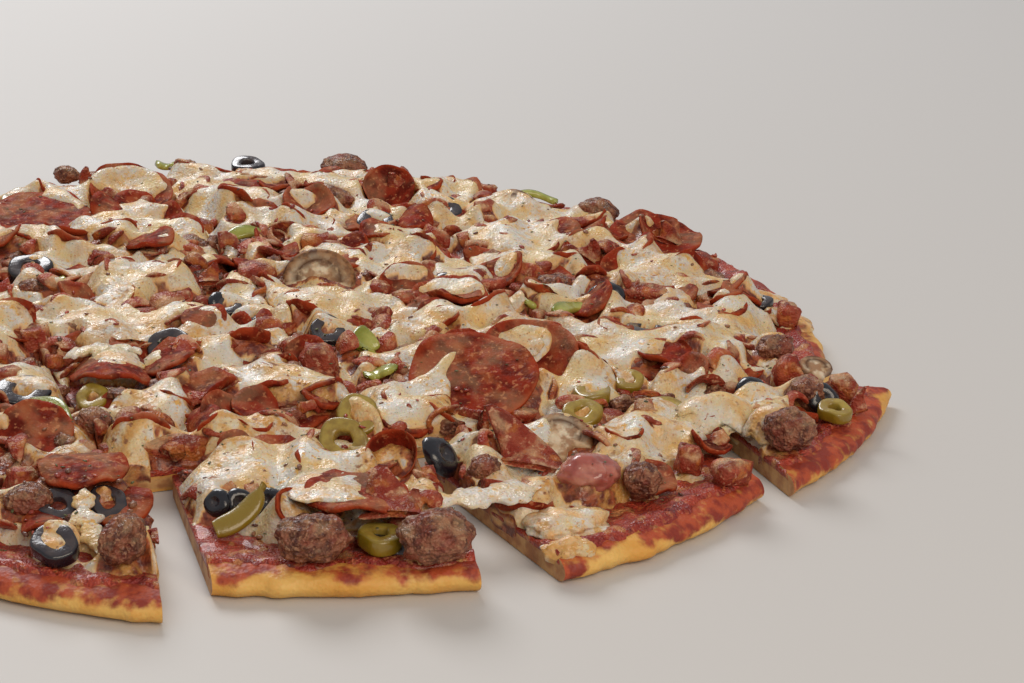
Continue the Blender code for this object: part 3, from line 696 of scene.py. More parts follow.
def stamp(shape):
    # raises the raster to the points of a shape
    points = shape[0]
    ix = np.clip(((points[:, 0] + raster["reach"]) / raster["step"]).round().astype(int), 1, cells - 2)
    iy = np.clip(((points[:, 1] + raster["reach"]) / raster["step"]).round().astype(int), 1, cells - 2)
    for dx in (-1, 0, 1):
        for dy in (-1, 0, 1):
            np.maximum.at(heights, (ix + dx, iy + dy), points[:, 2])


hollowBelow = ("pepperoni_front", "pepperoni_arched")   # the cheese runs on beneath these
for shape in sum(kindShapes.values(), []):
    stamp(shape)
for node, shape in freeShapes.items():
    if node not in hollowBelow:
        stamp(shape)

# Chopped meat fills the room between the big toppings: heaps first, then small pieces
rubble = {
    "rim": 185.0, "overhang": 1.6,
    # spacing, room to the cuts and to kept-clear toppings, the highest it may lie on, seeds
    "heaps": {"step": 19.0, "margin": 7.0, "clear": 5.0, "under": 11.0, "seed": 9000, "shapeSeed": 3},
    "small": {"step": 8.6, "margin": 2.5, "clear": 1.5, "under": 15.5, "seed": 0, "shapeSeed": 11},
    "heapLevel": 9.2, "lowest": 9.0, "span": 235,
    # ends that show in the cuts: spacing, nearest the rim, heights, and the share left out (back, front)
    "sideStep": 5.5, "sideRim": 184, "sideHeights": (8.2, 12.0), "sideGaps": (0.3, 0.72),
    # kept clear besides the toppings themselves: x, y, reach
    "clearings": [(9, -172, 14), (138, -119, 12), (113, -121, 6), (106, -160, 8), (160, -80, 9),
                  (150, -95, 8), (143, -78, 5)],
}
rubbleShapes = {kind: [] for kind in ("hamPieces", "sausageLumps", "meatShreds", "pepperoniBits")}


def rubblePiece(x, y, z, big, seed):
    turn, tip, around = dice.uniform(0, 360), dice.uniform(0, 35), dice.uniform(0, 360)
    pick = dice.random()
    if big and pick < 0.45:
        long, wide, high = dice.uniform(13, 18), dice.uniform(11, 14), dice.uniform(8, 10.5)
        return "sausageLumps", sausageShape((None, x, y, z + 1, long, wide, high, turn), seed, 3, 1.8)
    if big:
        long, wide, high = dice.uniform(12, 18), dice.uniform(9, 13), dice.uniform(7, 9.5)
        return "hamPieces", hamShape((x, y, z + 1, long, wide, high, turn), seed, 0.7, 3)
    if pick < 0.42:
        long, wide = dice.uniform(9, 17), dice.uniform(4.5, 8)
        curl, roll = dice.uniform(0.5, 1.5), dice.uniform(-70, 70)
        return "meatShreds", shredShape(x, y, z, long, wide, turn, curl, roll, seed, tip, around)
    if pick < 0.58:
        long, wide, high = dice.uniform(6, 11), dice.uniform(5, 8), dice.uniform(3.5, 6)
        return "hamPieces", hamShape((x, y, z, long, wide, high, turn), seed, 0.7, 2)
    if pick < 0.72:
        long, wide, high = dice.uniform(6, 10), dice.uniform(5, 8), dice.uniform(4, 6.5)
        return "sausageLumps", sausageShape((None, x, y, z, long, wide, high, turn), seed, 3, 2.6)
    bend = dice.choice((-80, -50, 60, 100))
    spec = (None, x, y, z + 1.5, dice.uniform(6.5, 11), dice.uniform(5, 45), around, 1.0, bend, turn)
    return "pepperoniBits", pepperoniShape(spec, seed, 26, 5)


def bigSlice(x, y):
    # on one of the large slices that are seen whole
    return any(math.hypot(x - spec[1], y - spec[2]) < spec[4] - 1 for spec in pepperoni["slices"] if spec[0])


def trimmed(shape, place):
    # the knife went through what crosses a slice's edge
    points, faces, masks = shape
    u, v = unspin(*carry(place, points[:, 0], points[:, 1], back=True))
    left, right, near, beyond = sliceBounds(*place)
    over = rubble["overhang"]
    u, v = np.clip(u, left - over, right + over), np.clip(v, near - over, beyond + over)
    x, y = carry(place, *spin(u, v))
    return np.stack([x, y, points[:, 2]], -1), faces, masks


keepClear = [spec[:3] for kind in ("black", "green") for spec in olives[kind]]
keepClear += [(x, y, radius) for x, y, radius, lean, leanAngle in olives["caps"]]
keepClear += [(spec[0], spec[1], spec[2] * 0.35) for spec in peppers["strips"]]
keepClear += [(spec[0], spec[1] - 4, spec[3] * 0.4) for spec in mushrooms["slices"]]
keepClear += [(spec[0], spec[1] - 3, spec[3] * 0.45) for spec in flaps["standing"]]
keepClear += rubble["clearings"]


def heldClear(x, y, margin):
    return any(math.hypot(x - cx, y - cy) < reach + margin for cx, cy, reach in keepClear)


for size, big in ((rubble["heaps"], True), (rubble["small"], False)):
    step, margin = size["step"], size["margin"]
    places = [step * k - rubble["span"] for k in range(int(2 * rubble["span"] / step) + 1)]
    for number, (x, y) in enumerate((a, b) for a in places for b in places):
        dice.seed(number + size["seed"])
        x, y = x + dice.uniform(-0.42, 0.42) * step, y + dice.uniform(-0.42, 0.42) * step
        inside = [place for place in sliceList if depthInside(place, x, y)[0] > margin]
        if not inside or depthInside(inside[0], x, y)[1] > rubble["rim"] - margin:
            continue
        under = float(sampled(heights, x, y))
        if under > size["under"] or bigSlice(x, y) or heldClear(x, y, size["clear"]):
            continue
        level = rubble["heapLevel"] if big else max(rubble["lowest"], under + 0.5)
        z = level + dice.uniform(-0.6, 0.8)
        kind, shape = rubblePiece(x, y, z, big, number % 89 + size["shapeSeed"])
        shape = trimmed(shape, inside[0])
        rubbleShapes[kind].append(shape)
        stamp(shape)

# Ends of chopped pieces show in the cut faces
for row, column in sliceList:
    left, right, near, beyond = sliceBounds(row, column)
    edges = [((left, near), (right, near)), ((left, near), (left, beyond)), ((right, near), (right, beyond))]
    for number, (start, end) in enumerate(edges):
        long = math.hypot(end[0] - start[0], end[1] - start[1])
        for index in range(int(min(long, 300) / rubble["sideStep"])):
            share = (index + dice.random()) * rubble["sideStep"] / long
            along = start[0] + (end[0] - start[0]) * share
            over = start[1] + (end[1] - start[1]) * share
            gaps = rubble["sideGaps"][0 if number == 0 and row else 1]
            if trueRadius(along, over) > rubble["sideRim"] or dice.random() < gaps:
                continue
            x, y = carry((row, column), *spin(along, over))
            z = dice.uniform(*rubble["sideHeights"])
            kind, shape = rubblePiece(x, y, z, False, index % 31 + number)
            inner = math.hypot(*(np.array(shape[0]).mean(0)[:2] - (x, y)))
            if kind != "pepperoniBits" and inner < 3:
                rubbleShapes[kind].append(trimmed(shape, (row, column)))

toppingTop = blurred(heights, 0.8)
for _ in range(2):   # the cheese hangs over a little beyond each topping
    beside = np.maximum(heights[:-2, 1:-1], heights[2:, 1:-1])
    beside = np.maximum(beside, np.maximum(heights[1:-1, :-2], heights[1:-1, 2:]))
    heights[1:-1, 1:-1] = np.maximum(heights[1:-1, 1:-1], beside - 0.5)
drapeBase = blurred(heights - sauceLevel, 2.5)
print("rubble laid:", sum(map(len, rubbleShapes.values())))

cheese = {
    "thickness": 3.4, "patchSize": 15.0, "edge": 3.5,
    # how far it stands over the toppings where bare and where covered, size of patches, share that is covered
    "bare": -4.4, "covered": 1.0, "patch": 13.5, "lean": 0.33,
    # places where it covers the toppings (above zero) or leaves them bare:
    # x, y, reach along, across, turn, amount
    "pools": [
        (-64, -17, 20, 13, 10, 5), (-57, 10, 17, 14, 0, 5), (12, -74, 20, 13, 15, 5),
        (123, -32, 20, 15, 0, 5), (160, -76, 26, 20, 30, 5), (18, -143, 30, 20, 15, 5),
        (-80, 139, 12, 10, 0, 4), (41, 66, 18, 13, 0, 4), (74, 68, 14, 12, 0, 4), (97, 88, 14, 10, 0, 4),
        (177, 54, 14, 10, 0, 4), (193, 8, 10, 12, 0, 4), (57, -100, 26, 9, 10, 4),
        (137, -116, 22, 15, 30, 5), (105, -155, 20, 12, 30, 2), (57, 166, 20, 10, 0, 4),
        (-36, 133, 12, 18, 0, 9), (-70, 96, 20, 10, 0, 4), (-97, -20, 20, 14, 40, 3),
        (-10, 20, 18, 12, 0, 3), (26, 12, 16, 10, 0, 4), (150, 60, 16, 12, 0, 3), (100, 112, 16, 10, 0, 3),
        (-20, 130, 14, 10, 0, 3), (-120, 80, 18, 12, 0, 2), (77, -64, 25, 22, 0, -7),
        (98, -40, 20, 18, 0, -5), (-47, -70, 18, 15, 0, -7), (-38, -166, 30, 22, 0, -5),
        (49, -190, 30, 12, 8, -8), (122, -146, 24, 15, 30, -5), (188, -96, 16, 20, 30, -6),
        (22, -50, 14, 16, 0, -4), (-106, 100, 22, 18, 0, -6), (14, 40, 16, 10, 0, -6),
        (5, 142, 18, 12, 0, -4), (36, -118, 10, 10, 0, -5), (66, -128, 12, 10, 0, -4),
        (-62, -112, 16, 14, 0, -5), (60, -76, 10, 14, -35, 12), (66, -62, 3, 12, -35, 9),
        (97, -40, 8, 7, 0, 11), (74, -92, 16, 6, 0, 6), (-47, -57, 14, 5, 0, 6), (7, -170, 11, 6, 20, -8),
        (-45, -77, 14, 9, 0, -9), (12, 31, 10, 6, 0, 12), (8, -94, 22, 8, 5, -6), (34, 150, 13, 10, 0, -4),
        (124, 31, 9, 9, 0, -5), (112, 12, 14, 10, 55, -4), (38, -30, 10, 10, 0, -3),
        (-32, -38, 9, 9, 0, -4), (16, -178, 9, 8, 0, 9), (6, -186, 8, 7, 0, 9), (107, -166, 13, 8, 20, 9),
        (108, -178, 11, 6, 10, 9), (134, -128, 22, 14, 25, 7), (162, -84, 28, 20, 15, 12),
        (-8, -198, 5, 12, 0, 9), (-32, -176, 8, 7, 0, 7),
    ],
    # where it runs further out to the rim: x, y, reach, how far
    "lobes": [(7, -190, 12, 9), (108, -178, 14, 11), (152, -140, 14, 8), (-8, -200, 9, 8), (170, -110, 12, 8),
              (205, 30, 16, 10)],
}
cover = cheese["lean"] + layeredWaves(rasterX, rasterY, cheese["patch"], 11, 3)
for x, y, long, wide, turn, amount in cheese["pools"]:
    c, s = math.cos(math.radians(turn)), math.sin(math.radians(turn))
    dx, dy = rasterX - x, rasterY - y
    away = np.hypot((dx * c + dy * s) / long, (dy * c - dx * s) / wide)
    cover += 0.3 * amount * (1 - softStep(0.45, 1.15, away))
for x, y, radius, lean, leanAngle in olives["black"] + olives["green"]:
    # the cheese rises over the back of an olive slice and leaves its near side bare
    dx, dy = (rasterX - x) / radius, (rasterY - y) / radius
    weight = 1 - softStep(0.9, 1.9, np.hypot(dx, dy + 0.5))
    cover += weight * np.clip((dy - 0.1) / 0.3, -1.2, 1)
lapped = [(spec[1], spec[2], (spec[4] + spec[5]) / 4, 0.4) for spec in sausage["lumps"]]
lapped += [(x, y, (long + wide) / 4, 0.3) for x, y, long, wide, high, turn in ham["pieces"]]
lapped += [(spec[1], spec[2], spec[4] * 0.9, 0.35) for spec in pepperoni["slices"] if not spec[0]]
for x, y, reach, line in lapped:   # cheese laps over the back of each topping and leaves its front bare
    dx, dy = rasterX - x, rasterY - y
    weight = 1 - softStep(0.8, 1.5, np.hypot(dx, dy) / reach)
    cover += 0.9 * weight * np.clip((dy / reach - line) / 0.45, -1, 1)
cover = softStep(-0.32, 0.3, cover)
drape = cheese["bare"] + (cheese["covered"] - cheese["bare"]) * cover
drape = blurred(drape, 1.1) + 0.7 * waves(rasterX, rasterY, 6.2, 41)

rubbleShapes["meatShreds"] += [flapShape(*spec, seed) for seed, spec in enumerate(flaps["standing"], 1)]

# A wedge of green olive stands in the front-centre slice, clear of the drape
oliveWedge = {
    "foot": (2.5, -182, 10.4), "rise": (13.5, 11.5, 10.4), "bow": (1.6, -1.4, -1.6), "width": 7.2,
    "thickness": 3.4, "upward": (-0.35, -0.75, 0.55),
}


def wedgeShape():
    run = np.linspace(0, 1, 24)
    path = np.array([oliveWedge["foot"]]) + np.outer(run, oliveWedge["rise"])
    path += np.outer(np.sin(run * math.pi), oliveWedge["bow"])
    width = oliveWedge["width"] * np.sqrt(np.clip(1 - np.abs(2 * run - 0.8) ** 3.5, 0.03, 1))
    points, faces = sweptShape(path, width, oliveWedge["thickness"], 16, 2.6, oliveWedge["upward"])
    return points, faces, {"skin": np.ones(len(points))}


kindShapes["greenOlives"].append(wedgeShape())

# Pieces wholly under the cheese are left out
for kind, shapes in rubbleShapes.items():
    seen = []
    for shape in shapes:
        points = shape[0]
        x, y = points[:, 0], points[:, 1]
        over = sauceLevel + sampled(drapeBase, x, y) + sampled(drape, x, y)
        if (points[:, 2] > over - 0.2).any():
            seen.append(shape)
    if kind in kindShapes:
        kindShapes[kind] += seen
    else:
        kindShapes[kind] = seen
print("rubble kept:", {kind: len(shapes) for kind, shapes in kindShapes.items()})


def cutDepth(place, u, v):
    left, right, near, beyond = sliceBounds(*place)
    return np.minimum(np.minimum(u - left, right - u), np.minimum(v - near, beyond - v))


def cheeseTop(place, u, v, x, y):
    # height of the cheese over a slice, with masks of how toasted and how thin it is
    radius = trueRadius(u, v)
    angle = np.arctan2(v, u)
    outline = 183 + 6 * waves(20 * np.cos(angle), 20 * np.sin(angle), 3.1, 5)
    outline += 4 * waves(x, y, 9, 8)
    outline -= 9 * softStep(-0.4, -0.85, np.sin(angle)) * softStep(0.0, 0.5, np.cos(angle + 1.9) + 0.5)
    for lobeX, lobeY, reach, amount in cheese["lobes"]:
        outline = outline + amount * (1 - softStep(0.4, 1.1, np.hypot(x - lobeX, y - lobeY) / reach))
    inside = outline - radius
    covering = sampled(cover, x, y)
    body = cheese["thickness"] * (0.12 + 0.8 * covering + 0.35 * layeredWaves(x, y, cheese["patchSize"], 31))
    body += 0.3 * waves(x, y, 3.4, 77)
    fade = np.where(inside > 0, np.sqrt(np.clip(inside / cheese["edge"], 0, 1)), inside * 0.5)
    bare = sauceTop(radius) + np.where(fade > 0, body * fade, fade * 2.5)
    over = sauceLevel + sampled(drapeBase, x, y) + sampled(drape, x, y) - 8.5 * (1 - softStep(-8, 0, inside))
    top = 0.8 * np.logaddexp(bare / 0.8, over / 0.8) - 0.3
    top += 0.18 * waves(x, y, 1.7, 91) * softStep(0, 4, inside)
    slump = (0.9 + 3.2 * softStep(-0.4, 0.6, waves(x, y, 13, 44))) * (1.0 if place[0] == 0 else 0.6)
    top -= slump * (1 - np.clip(cutDepth(place, u, v) / 5.5, 0, 1)) ** 2
    top = belowCeiling(np.maximum(top, 4.0))
    relief = top - sauceTop(radius)
    film = top - np.maximum(sampled(toppingTop, x, y), sauceTop(radius))
    toast = softStep(3.6, 9.5, relief + 2.6 * layeredWaves(x, y, 7, 51))
    toast *= softStep(-0.45, 0.4, waves(x, y, 11, 61))
    toast = np.clip(toast + 0.7 * softStep(9, 1, inside) * softStep(-0.1, 0.5, waves(x, y, 8, 62)), 0, 1)
    toast = np.clip(toast * (0.5 + 0.8 * softStep(40, -140, y)), 0, 1)   # browner towards the near side
    thin = 1 - softStep(-0.3, 0.9, film + 0.5 * waves(x, y, 3.0, 71))
    thin *= 1 - 0.8 * softStep(0.5, 0.95, covering)
    return top, toast, thin


def outward(x, y):
    # plan directions that point out of a closed loop of places
    dx, dy = np.roll(x, -1) - np.roll(x, 1), np.roll(y, -1) - np.roll(y, 1)
    length = np.maximum(np.hypot(dx, dy), 1e-6)
    ax, ay = dy / length, -dx / length
    area = np.sum(x * np.roll(y, -1) - np.roll(x, -1) * y)
    return (ax, ay) if area > 0 else (-ax, -ay)


def sheetShape(x, y, top, masks, skirt, bottom):
    # closed sheet over a plan grid; skirt lists (outward, share of the way down) for its sides
    rows, columns = x.shape
    index = np.arange(rows * columns).reshape(rows, columns)
    loop = np.concatenate([index[:, 0], index[-1, 1:], index[-2::-1, -1], index[0, -2:0:-1]])
    keep = [0]
    flatX, flatY = x.reshape(-1), y.reshape(-1)
    for number in range(1, len(loop)):
        last = loop[keep[-1]]
        if math.hypot(flatX[loop[number]] - flatX[last], flatY[loop[number]] - flatY[last]) > 0.02:
            keep.append(number)
    loop = loop[keep]
    lx, ly, lz = flatX[loop], flatY[loop], top.reshape(-1)[loop]
    ax, ay = outward(lx, ly)
    points = [np.stack([flatX, flatY, top.reshape(-1)], -1)]
    faces = gridFaces(rows, columns).tolist()
    previous = loop
    start = rows * columns
    sideMasks = {name: [values.reshape(-1)] for name, values in masks.items()}
    shown = softStep(7.0, 8.5, lz)
    for push, share in skirt:
        offset = push(lx, ly) * shown - 0.6 * (1 - shown) if callable(push) else push
        level = np.stack([lx + ax * offset, ly + ay * offset, lz + (bottom - lz) * share], -1)
        points.append(level)
        current = np.arange(start, start + len(loop))
        after, afterPrevious = np.roll(current, -1), np.roll(previous, -1)
        faces += np.stack([previous, afterPrevious, after, current], -1).tolist()
        for name, values in masks.items():
            # on the sides the thin mask is raised so the dark colour under thin cheese shows: partly grease
            # stain, partly painted shade on the faces of the cuts
            stain = 0.7 + 0.7 * waves(lx, ly, 5.0, 33 + len(points)) if name == "thin" else 0.0
            sideMasks[name].append(np.clip(values.reshape(-1)[loop] + stain, 0, 1))
        previous = current
        start += len(loop)
    faces.append(previous[::-1].tolist())
    return np.vstack(points), faces, {name: np.concatenate(values) for name, values in sideMasks.items()}


def sheetPiece(name, *arguments):
    points, faces, masks = sheetShape(*arguments)
    piece = makePiece(name, points, faces, masks)
    cleanPiece(piece)
    return piece


def sideBulge(amount, seed, uneven, x, y):
    return amount + uneven * np.maximum(layeredWaves(x, y, 7.0, seed, 2), -0.3)


# Cheese and sauce for each slice; the front row is finest and overhangs its cuts most
rowGrids = {
    "front": {"columns": 122, "steps": 112, "bulge": 1.0, "droop": 1.6},
    "others": {"columns": 94, "steps": 90, "bulge": 0.35, "droop": 0.3},
}
sauceRings = list(np.arange(170.0, 190.0, 2.0)) + list(np.arange(190.0, 199.6, 1.0))
pieces = {}


def sliceNumber(place):
    return f"{place[0] + 1}_{place[1] + 1}"


def spreadCheese(place):
    grid = rowGrids["front" if place[0] == 0 else "others"]
    u, v = sliceGrid(place, grid["columns"], grid["steps"], [196.0])
    x, y = carry(place, *spin(u, v))
    top, toast, thin = cheeseTop(place, u, v, x, y)
    bulge = partial(sideBulge, 0.4, 15, grid["bulge"])
    droop = partial(sideBulge, 0.6, 16, grid["droop"])
    tuck = partial(sideBulge, -0.15, 18, 0.9)
    skirt = [(bulge, 0.08), (droop, 0.3), (bulge, 0.55), (tuck, 0.8), (-0.8, 1.0)]
    return sheetPiece("cheese" + sliceNumber(place), x, y, top, {"toast": toast, "thin": thin}, skirt, 1.0)


def spreadSauce(place):
    u, v = sliceGrid(place, 60, 10, sauceRings)
    x, y = carry(place, *spin(u, v))
    radius = trueRadius(u, v)
    angle = np.arctan2(v, u)
    edge = 196.0 + 1.8 * np.sin(5 * (angle + cuts["turn"])) + 3.0 * waves(x, y, 8, 3)
    edge += 1.6 * waves(x, y, 2.8, 4)
    wet = sauceTop(radius) + 0.9 * waves(x, y, 4.2, 5) + 0.5 * waves(x, y, 2.0, 6) - 0.2
    top = np.where(radius < edge, wet, wet - (radius - edge) * 1.4)
    top = np.where((edge - radius < 1.5) & (radius < edge), wet - 0.4 * (1 - (edge - radius) / 1.5) ** 2, top)
    top = np.maximum(np.where(radius > 197.5, np.minimum(top, 8.4 - 1.2 * (radius - 197.5)), top), 5.0)
    skirt = [(0.25, 0.3), (0.1, 0.8), (-0.5, 1.0)]
    return sheetPiece("sauce" + sliceNumber(place), x, y, top, {}, skirt, 4.8)


for place in sliceList:
    pieces["cheese_" + sliceNumber(place)] = spreadCheese(place)
    pieces["sauce_" + sliceNumber(place)] = spreadSauce(place)
print("cheese and sauce spread")

crust = {
    # the rim's edge from the top round to the floor: radius, height
    "edge": [(200.2, 7.0), (201.7, 6.1), (202.6, 5.0), (203.0, 3.8), (202.8, 2.6), (202.1, 1.5), (200.9, 0.5),
             (199.0, 0.0)],
    # where sauce ran down over the rim: x, y, reach, how far down
    "drips": [(168, -134, 22, 5), (150, -158, 16, 4), (104, -192, 12, 5), (208, -75, 24, 5),
              (192, -112, 26, 4), (190, 80, 24, 3), (-60, -215, 30, 2), (60, -208, 12, 2)],
}


def crustShape(place):
    # loops of points from the inner side over the top, round the rim and back underneath
    u, v = sliceGrid(place, 72, 6, list(np.arange(174.0, 190.0, 4.0)) + list(np.arange(190.0, 198.1, 1.0)))
    radius = trueRadius(u, v)
    x, y = carry(place, *spin(u, v))
    top = baseTop(radius) + 0.35 * waves(x, y, 5, 21) * softStep(186, 192, radius)
    top -= 0.5 * softStep(195.5, 198, radius)
    share = np.linspace(0, 1, u.shape[0])
    columns = [np.stack([x, y, top], -1)]
    rimMask = [softStep(188, 197, radius)]
    if place[0] in (1, 2) and place[1] in (1, 2):
        under = [(x[:, ::-1], y[:, ::-1], 0.0)]
    else:
        under = []
        way = place[0] * 4.0 + place[1]
        lump = 1 + 0.0034 * waves(share * 12, share * 0 + way, 1.0, 9)
        lump += 0.0022 * waves(share * 31, share * 0 + way, 1.0, 7)
        for reach, z in crust["edge"]:
            ru, rv = ringOf(place, reach, share)
            rx, ry = carry(place, *spin(ru * lump, rv * lump))
            lift = 0.35 * waves(rx, ry, 6, 23) * (1 if z > 1 else 0)
            columns.append(np.stack([rx, ry, z + lift], -1)[:, None])
            rimMask.append(np.full((len(share), 1), 1.0))
        for part in (0.9, 0.5, 0.0):
            fx = x[:, :1] + (rx[:, None] - x[:, :1]) * part
            fy = y[:, :1] + (ry[:, None] - y[:, :1]) * part
            under.append((fx, fy, 0.0))
    for fx, fy, z in under:
        columns.append(np.stack([fx, fy, np.full(fx.shape, z)], -1))
        rimMask.append(np.full(fx.shape, 0.0))
    for z in (0.25, 0.5, 0.75):
        columns.append(np.stack([x[:, :1], y[:, :1], top[:, :1] * z], -1))
        rimMask.append(np.zeros((len(share), 1)))
    loops = np.concatenate(columns, 1)
    wet = loops[..., 2] + 2.6 * waves(loops[..., 0], loops[..., 1], 9, 51)
    wet += 0.8 * waves(loops[..., 0], loops[..., 1], 4.0, 52)
    for dripX, dripY, reach, amount in crust["drips"]:
        away = np.hypot(loops[..., 0] - dripX, loops[..., 1] - dripY) / reach
        wet += amount * (1 - softStep(0.5, 1.1, away))
    smear = softStep(3.2, 8.6, wet)
    smear *= softStep(176, 186, trueRadiusOf(place, loops[..., 0], loops[..., 1]))
    # the cut mask picks the faces that get the crumb colour darkened with painted shade
    cut = np.zeros(loops.shape[:2])
    cut[:, -3:] = 1
    ends = [loops[:1] + 0.03 * (loops[:1] - loops[1:2]), loops[-1:] + 0.03 * (loops[-1:] - loops[-2:-1])]
    loops = np.concatenate([ends[0], loops, ends[1]])   # the cut faces get corners of their own
    cut = np.pad(cut, ((1, 1), (0, 0)), constant_values=1)
    rim = np.concatenate(rimMask, 1)
    rim, smear = (np.pad(values, ((1, 1), (0, 0)), mode="edge") for values in (rim, smear))
    rows, around = loops.shape[:2]
    faces = gridFaces(rows, around, loop=True).tolist()
    faces.append(list(range(around))[::-1])
    faces.append([(rows - 1) * around + k for k in range(around)])
    masks = {"rim": rim, "smear": smear, "cut": cut}
    return loops.reshape(-1, 3), faces, {name: values.reshape(-1) for name, values in masks.items()}


for place in sliceList:
    piece = makePiece("crust" + sliceNumber(place), *crustShape(place), smooth=False)
    cleanPiece(piece)
    piece.data.shade_smooth()
    piece.data.set_sharp_from_angle(angle=math.radians(50))
    pieces["crust_" + sliceNumber(place)] = piece
print("crust baked")

# Toppings as pieces: free ones one by one, the rest one piece for each kind
toppingPieces = {}
for node, shape in freeShapes.items():
    words = node.split("_")
    toppingPieces[node] = makePiece(words[0] + "".join(word.capitalize() for word in words[1:]), *shape)
kindPieces = {}
for kind, shapes in kindShapes.items():
    kindPieces[kind] = makePiece(kind, *joinShapes(shapes))
print("toppings laid")

# Loose cheese strands
strands = [   # start, end, width, thickness, sag
    ((50, -171, 16), (100, -154, 16), 13, 2.4, 1), ((28, -118, 14), (60, -124, 14), 6, 2.6, 1),
    ((-37, -174, 19.5), (-31, -199, 10), 7, 2.8, 1), ((-64, -60, 16), (-40, -52, 17), 8, 2.8, -2),
]
strandShapes = []
for seed, (start, end, width, thickness, sag) in enumerate(strands, 1):
    run = np.linspace(0, 1, 40)
    path = np.array(start)[None] * (1 - run[:, None]) + np.array(end)[None] * run[:, None]
    path[:, 2] += sag * 4 * run * (run - 1)
    path[:, 0] += 1.6 * np.sin(run * 5 + seed)
    path[:, 1] += 1.2 * np.sin(run * 4 + 2 * seed)
    taper = 0.35 + 0.65 * np.sqrt(np.clip(1 - np.abs(2 * run - 1) ** 6, 0, 1)) + 0.2 * np.sin(run * 9 + seed)
    taper *= np.clip(np.minimum(run, 1 - run) * 12 + 0.15, 0, 1)
    ragged = taper * (1 + 0.3 * np.sin(run * 23 + seed) + 0.15 * np.sin(run * 51))
    points, faces = sweptShape(path, width * ragged, thickness * taper, 14)
    points = points + 0.7 * noiseAt(points, 0.35, seed)[:, None]
    strandShapes.append((points, faces, {"toast": np.full(len(points), 0.15), "thin": np.zeros(len(points))}))

# Folds, lumps and drapes of cheese that stand free of the sheets; heights are in "place"
blankets = [
    {"place": (38, -169, 20.6), "size": (16.5, 14.9, 3), "lean": (-6, -110), "bend": (45, 15),
     "toasted": 0.3},
    {"place": (91, -42, 21.6), "size": (8.5, 7.6, 3), "lean": (34, -85), "bend": (-40, 10), "toasted": 0.2},
    {"place": (-47, -63, 18.6), "size": (11, 9.9, 3), "lean": (-2, -100), "bend": (90, 5), "toasted": 0.3},
    {"place": (-41, -202, 15.6), "size": (7.0, 6.3, 3), "lean": (24, -90), "bend": (60, 0), "toasted": 1.0},
    {"place": (193.5, 27, 9.0), "size": (10.5, 9.4, 5), "lean": (17, 10), "bend": (40, 90), "toasted": 0.9},
    {"place": (188, 50, 9.0), "size": (8, 7.2, 5), "lean": (14, 15), "bend": (40, 90), "toasted": 0.7},
    {"place": (175, -93, 20.0), "size": (9.5, 8.5, 2.4), "lean": (14, -140), "droop": 6, "ragged": 0.26,
     "toasted": 0.6},
    {"place": (157, -83, 19.4), "size": (18, 12.5, 3.4), "turn": 24, "droop": 9, "ragged": 0.4,
     "toasted": 0.25},
    {"place": (108, -165, 8.8), "size": (13, 9, 8), "turn": 8, "ragged": 0.34, "toasted": 0.4},
    {"place": (108, -181, 7.4), "size": (7.5, 4.6, 8), "turn": 12, "ragged": 0.34, "toasted": 1.0},
]
for seed, sheet in enumerate(blankets, 31):
    unit, faces = balls[4]
    long, wide, thick = sheet["size"]
    uneven = 1 + sheet.get("ragged", 0.16) * (noiseAt(unit, 1.6, seed) + 0.4 * noiseAt(unit, 3.8, seed + 7))
    points = unit * uneven[:, None] * np.array([long, wide, thick / 2])
    points[:, 2] += 0.9 * noiseAt(points, 0.16, seed) + 0.5 * noiseAt(points, 0.4, seed + 3)
    bend, bendAngle = sheet.get("bend", (0, 0))
    run = points[:, 0] * math.cos(math.radians(bendAngle)) + points[:, 1] * math.sin(math.radians(bendAngle))
    points[:, 2] -= math.radians(bend) / 4 / long * run ** 2
    points[:, 2] -= sheet.get("droop", 0) * ((points[:, 0] / long) ** 2 + (points[:, 1] / wide) ** 2)
    points = placed(points, placing(*sheet["place"], sheet.get("turn", 0), *sheet.get("lean", (0, 0))))
    strandShapes.append((points, faces, {
        "toast": np.clip(noiseAt(points, 0.15, seed) + sheet["toasted"], 0, 1),
        "thin": np.clip(0.8 * noiseAt(points, 0.2, seed + 1) + 0.5 * (sheet["toasted"] - 0.3), 0, 1)}))
kindPieces["cheeseStrands"] = makePiece("cheeseStrands", *joinShapes(strandShapes))


def surfaceAt(x, y):
    # height of what shows at a spot, or None off the pizza
    for place in sliceList:
        depth, radius = depthInside(place, x, y)
        if depth > crumbs["cutMargin"] and radius < crumbs["rim"]:
            u, v = unspin(*carry(place, x, y, back=True))
            top = cheeseTop(place, *(np.array([value]) for value in (u, v, x, y)))[0][0]
            return max(float(top), float(sampled(toppingTop, x, y)))
    return None


